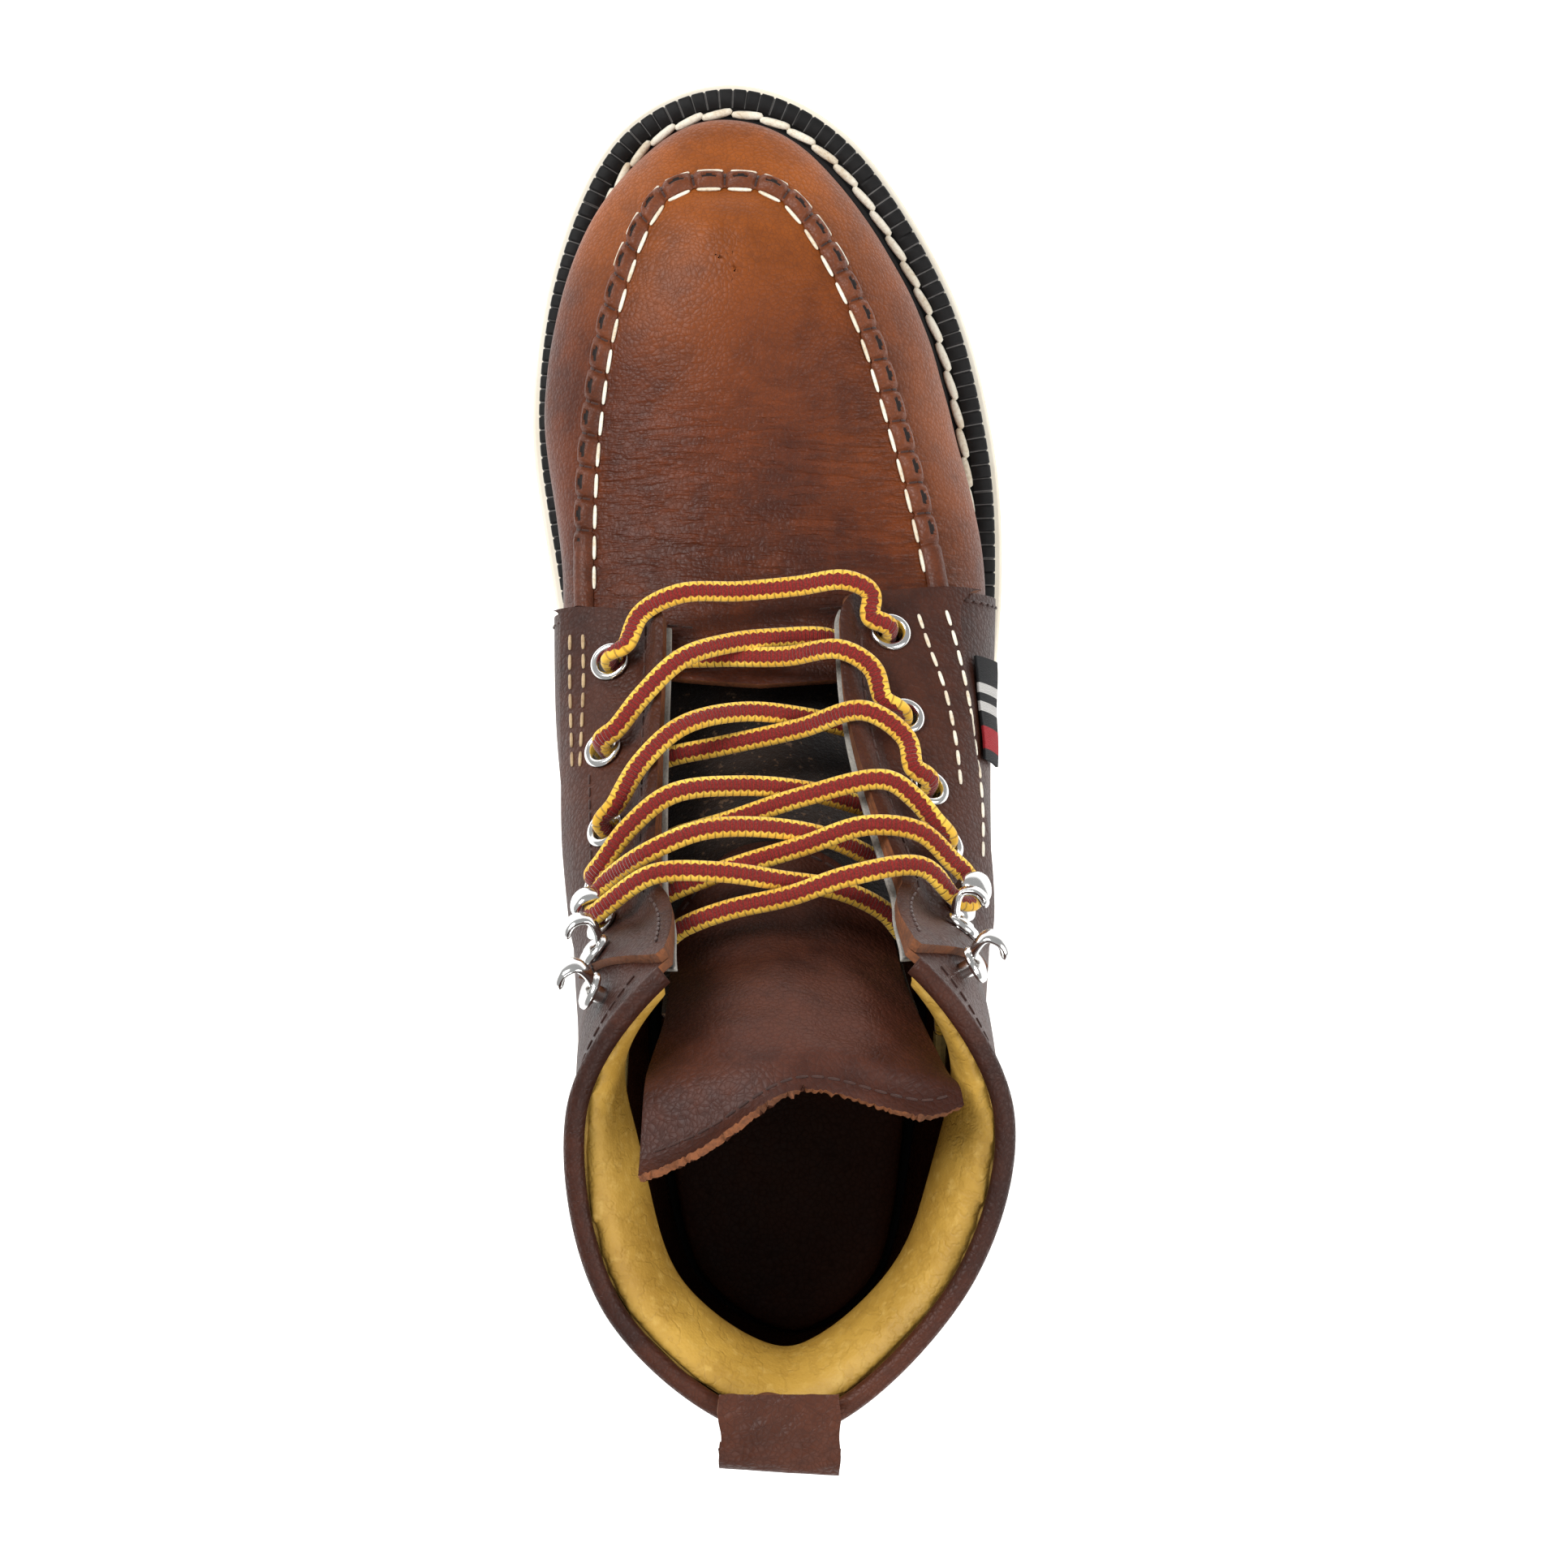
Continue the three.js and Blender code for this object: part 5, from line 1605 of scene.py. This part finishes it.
def hookMesh(sign):
    bm = bmesh.new()
    bm.loops.layers.uv.new("UVMap")
    turned(bm, [(r, h + upper["stay"]) for r, h in hookShape["base"]], 36)
    arm = splineAt([(-sign * x, y, z + upper["stay"]) for x, y, z in hookShape["arm"]], np.linspace(0, 1, 41))
    tangents = unit(np.gradient(arm, axis=0))
    ups = np.cross(np.tile([0, 1.0, 0], (41, 1)), tangents)
    table = lambda key: np.interp(np.linspace(0, 5, 41), range(6), hookShape[key])
    tips = np.sqrt(np.clip(1 - np.clip((np.linspace(0, 1, 41) - 0.86) / 0.1405, 0, 1) ** 2, 0, 1))
    steps, place = tubeAlong(
        arm, ups, table("width") * np.maximum(tips, 0.03), table("height") * np.maximum(tips, 0.03)
    )
    armBm = bmesh.new()
    bmesh.ops.create_grid(armBm, x_segments=steps, y_segments=18, size=0.5)
    shares = np.array([v.co[:2] for v in armBm.verts]) + 0.5
    for vertex, point in zip(armBm.verts, place(shares[:, 0], shares[:, 1])):
        vertex.co = point
    bmesh.ops.remove_doubles(armBm, verts=armBm.verts[:], dist=1e-4)
    closeEnds(armBm)
    mesh = bpy.data.meshes.new("arm")
    armBm.to_mesh(mesh)
    armBm.free()
    bm.from_mesh(mesh)
    bpy.data.meshes.remove(mesh)
    return bm


for side, facts in sides.items():
    for index, (x, y) in enumerate(lacing[side]):
        if index < eyeletCount:
            bm = bmesh.new()
            turned(bm, eyeletProfile)
            label, node = f"eyelet{side.capitalize()}{index + 1}", f"eyelet_{side}_{index + 1}"
        else:
            bm = hookMesh(facts["sign"])
            number = index - eyeletCount + 1
            label, node = f"speedHook{side.capitalize()}{number}", f"speed_hook_{side}_{number}"
        setOn(bm, x, y)
        fitting = makePiece(label, outwards(bm), [nickel], [node])
        fitting.data.set_sharp_from_angle(angle=math.radians(50))
print("fittings ready")

# ---------- lace
intoHole = [
    (5.4, 1, 9.2), (2.9, 0.4, 8.8), (1, 0, 8), (0.1, 0, 5.6), (0, 0, 2), (0, 0, -1.2), (0.8, 0, -4),
    (3.2, 0, -5.8)
]
roundHook = [(7, 5.4), (3.9, 4.9), (1.3, 2.9), (0.6, 0), (1.3, -2.9), (3.9, -4.8), (7, -5.2)]
hookHeight = 9.8
innerSteps = [
    ("medial", 0),
    [
        (-27, 14.4, -3.6), (-23.5, 15, -0.2), (-19.5, 15.3, 2.9), (-11, 14.9, 5), (5, 13.8, 8),
        (16.5, 12.6, 12.6), (22.5, 8.5, 11.4)
    ],
    ("lateral", 1),
    [
        (24, 1.2, -3.8), (18.5, 1.4, -0.4), (8, 0.9, 4.6), (-6, -0.7, 8.8), (-17.5, -6.6, 12.6),
        (-24.5, -13.8, 11.4)
    ],
    ("medial", 2),
    [
        (-26, -23.4, -3.8), (-20.5, -23, -0.4), (-8, -21.6, 3), (8, -19.6, 7.6), (23.5, -18.6, 12.6),
        (29, -21.6, 11.6)
    ],
    ("lateral", 3),
    [
        (31, -27.2, -4.6), (26.5, -27, -2.6), (14, -26.6, 4.6), (1, -27.4, 8.8), (-12, -30, 12.2),
        (-20.5, -34.6, 12.8)
    ],
    ("medial", 4),
    [
        (-20.5, -41.5, 12.8), (-9, -37.8, 10), (4, -36.2, 5), (16, -36, 2.2), (26.5, -37.6, -2),
        (34.6, -40.4, -6.5)
    ],
]
innerTail = [(38, -49, 107), (39, -57, 98), (39, -66, 91)]
outerSteps = [
    ("lateral", 0),
    [
        (21.5, 20.9, -3.6), (17.2, 20.8, -0.2), (12.4, 20.6, 3), (4, 19.6, 5.4), (-8, 16.6, 9),
        (-18, 10.4, 12.6), (-25, 2.4, 11.4)
    ],
    ("medial", 1),
    [
        (-28, -5.8, -4.2), (-22.5, -5, -1), (-10, -4.2, 2), (8, -3.2, 6.6), (20.5, -3.2, 13.4),
        (28.6, -8, 11.4)
    ],
    ("lateral", 2),
    [
        (29, -14.8, -4.6), (23.5, -15, -2.6), (10, -16, 4.2), (-6, -17.8, 8.6), (-18, -22, 12.6),
        (-25.5, -28.4, 11.6)
    ],
    ("medial", 3),
    [
        (-26.8, -35.2, -4.2), (-21.5, -34.4, -1), (-8, -31.6, 2.4), (8, -29.4, 6.2), (20, -28, 11),
        (28.5, -30, 13)
    ],
    ("lateral", 4),
    [
        (28.5, -38.6, 13), (17, -38.8, 10), (5, -39.4, 5), (-8, -39.6, 1.4), (-18.5, -40.6, -2.2),
        (-26.6, -42, -6.5)
    ],
]
outerTail = [(-30.5, -50, 108), (-31.5, -58, 99), (-32, -67, 92)]
frontBar = [
    (-26, 22.6, 10.4), (-18, 26.6, 12.8), (-6, 29, 9.5), (7, 30, 9.5), (16.5, 29.6, 12.8), (22, 27, 11)
]


def overLast(places):
    made = []
    for x, y, height in places:
        point, normal = dropOn(x, y)
        made.append(point + normal * height)
    return made


def roundPlace(side, index):
    point, axes = frameOn(*lacing[side][index])
    inward = sides[side]["sign"]
    steps = intoHole if index < eyeletCount else [(across, ahead, hookHeight) for across, ahead in roundHook]
    return [point + axes @ np.array([inward * across, ahead, height]) for across, ahead, height in steps]


def halfRoute(steps):
    made = []
    for step in steps:
        made += roundPlace(*step) if isinstance(step, tuple) else overLast(step)
    return made


routePoints = (
    [np.array(p, float) for p in innerTail[::-1]]
    + halfRoute(innerSteps)[::-1]
    + overLast(frontBar)
    + halfRoute(outerSteps)
    + [np.array(p, float) for p in outerTail]
)


def centripetal(points, perSpan=14):  # a smooth line through uneven points
    points = np.array(points, float)
    padded = np.vstack([2 * points[0] - points[1], points, 2 * points[-1] - points[-2]])
    made = []
    for index in range(len(points) - 1):
        p0, p1, p2, p3 = padded[index : index + 4]
        d0, d1, d2 = (max(np.linalg.norm(q - p) ** 0.5, 1e-4) for p, q in ((p0, p1), (p1, p2), (p2, p3)))
        t1 = ((p1 - p0) / d0 - (p2 - p0) / (d0 + d1) + (p2 - p1) / d1) * d1
        t2 = ((p2 - p1) / d1 - (p3 - p1) / (d1 + d2) + (p3 - p2) / d2) * d1
        for part in np.arange(perSpan) / perSpan:
            a, b = part * part, part**3
            made.append(
                p1 + t1 * part + (-3 * p1 + 3 * p2 - 2 * t1 - t2) * a + (2 * p1 - 2 * p2 + t1 + t2) * b
            )
    return np.array(made + [points[-1]])


laceSize = {"wide": 2.3, "high": 1.5, "step": 0.5, "sides": 16}
rough = centripetal(routePoints)
reach = np.concatenate([[0], np.cumsum(np.linalg.norm(np.diff(rough, axis=0), axis=1))])
even = np.linspace(0, reach[-1], int(reach[-1] / laceSize["step"]))
lacePath = np.stack([np.interp(even, reach, rough[:, k]) for k in range(3)], -1)
for _ in range(4):
    lacePath[1:-1] = (lacePath[:-2] + 2 * lacePath[1:-1] + lacePath[2:]) / 4


def laceUps(path):  # the flat side faces away from the foot wherever it can
    tangents = unit(np.gradient(path, axis=0))
    found = [lastTree.find_nearest(Vector(p))[1] for p in path[::6]]
    outward = np.array([n if n.z > 0 else -n for n in found])
    outward = np.stack(
        [np.interp(np.arange(len(path)), np.arange(0, len(path), 6), outward[:, k]) for k in range(3)], -1
    )
    ups = np.zeros_like(path)
    last = unit(outward[0] - tangents[0] * (outward[0] @ tangents[0]))
    for index, (tangent, wish) in enumerate(zip(tangents, outward)):
        last = unit(last - tangent * (last @ tangent))
        wish = unit(0.35 * wish + np.array([0, 0, 1.0]))
        flat = wish - tangent * (wish @ tangent)
        if flat @ last < 0:
            flat = -flat
        last = unit(last + 0.12 * flat * np.linalg.norm(flat))
        ups[index] = last
    return ups


steps, lacePlace = tubeAlong(
    lacePath, laceUps(lacePath), np.full(
        len(lacePath), laceSize["wide"]
    ), np.full(len(lacePath), laceSize["high"])
)
laceGrid = shapedGrid((steps, laceSize["sides"]), lacePlace, closed=True)
closeEnds(laceGrid)
makePiece("lace", outwards(laceGrid), [laceBraid], ["lace"])
print("lace", round(float(reach[-1])), "mm")

# ---------- floor and light
floorGrid = bmesh.new()
bmesh.ops.create_grid(floorGrid, x_segments=2, y_segments=2, size=3.0)
floorMesh = bpy.data.meshes.new("floor")
floorGrid.to_mesh(floorMesh)
floorGrid.free()
floor = bpy.data.objects.new("floor", floorMesh)
floor.location.z = -0.0005
bpy.context.scene.collection.objects.link(floor)
glowing = {"Emission Color": (1.0, 1.0, 1.0, 1.0), "Emission Strength": 0.38}
floorFinish = plainFinish("floorPaper", (0.93, 0.93, 0.93), 0.9, (300.0, 0.01, 0.01), 0.0, glowing)
floorMesh.materials.append(floorFinish)
floor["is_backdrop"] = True

lights = {  # place, size, power, aim
    "key": {"place": (-0.75, 0.65, 1.15), "size": 0.8, "power": 20.0},
    "fill": {"place": (0.95, -0.1, 1.0), "size": 0.9, "power": 10.0},
    "back": {"place": (0.1, -1.1, 1.2), "size": 0.8, "power": 8.0},
}
for name, facts in lights.items():
    lamp = bpy.data.lights.new(name, "AREA")
    lamp.energy = facts["power"]
    lamp.size = facts["size"]
    lamp.shape = "DISK"
    holder = bpy.data.objects.new(name, lamp)
    holder.location = facts["place"]
    holder.rotation_euler = (
        Vector((0, 0, 0.05)) - Vector(facts["place"])
    ).to_track_quat("-Z", "Y").to_euler()
    bpy.context.scene.collection.objects.link(holder)
world = bpy.data.worlds.new("world")
world.use_nodes = True
background = world.node_tree.nodes["Background"]
background.inputs["Color"].default_value = (1.0, 1.0, 1.0, 1.0)
background.inputs["Strength"].default_value = 0.43
bpy.context.scene.world = world

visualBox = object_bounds()
asNumbers = lambda box: [[round(float(v), 6) for v in corner] for corner in box]
{"cad": asNumbers(cadBox), "visual": asNumbers(visualBox)}
print("scene ready")
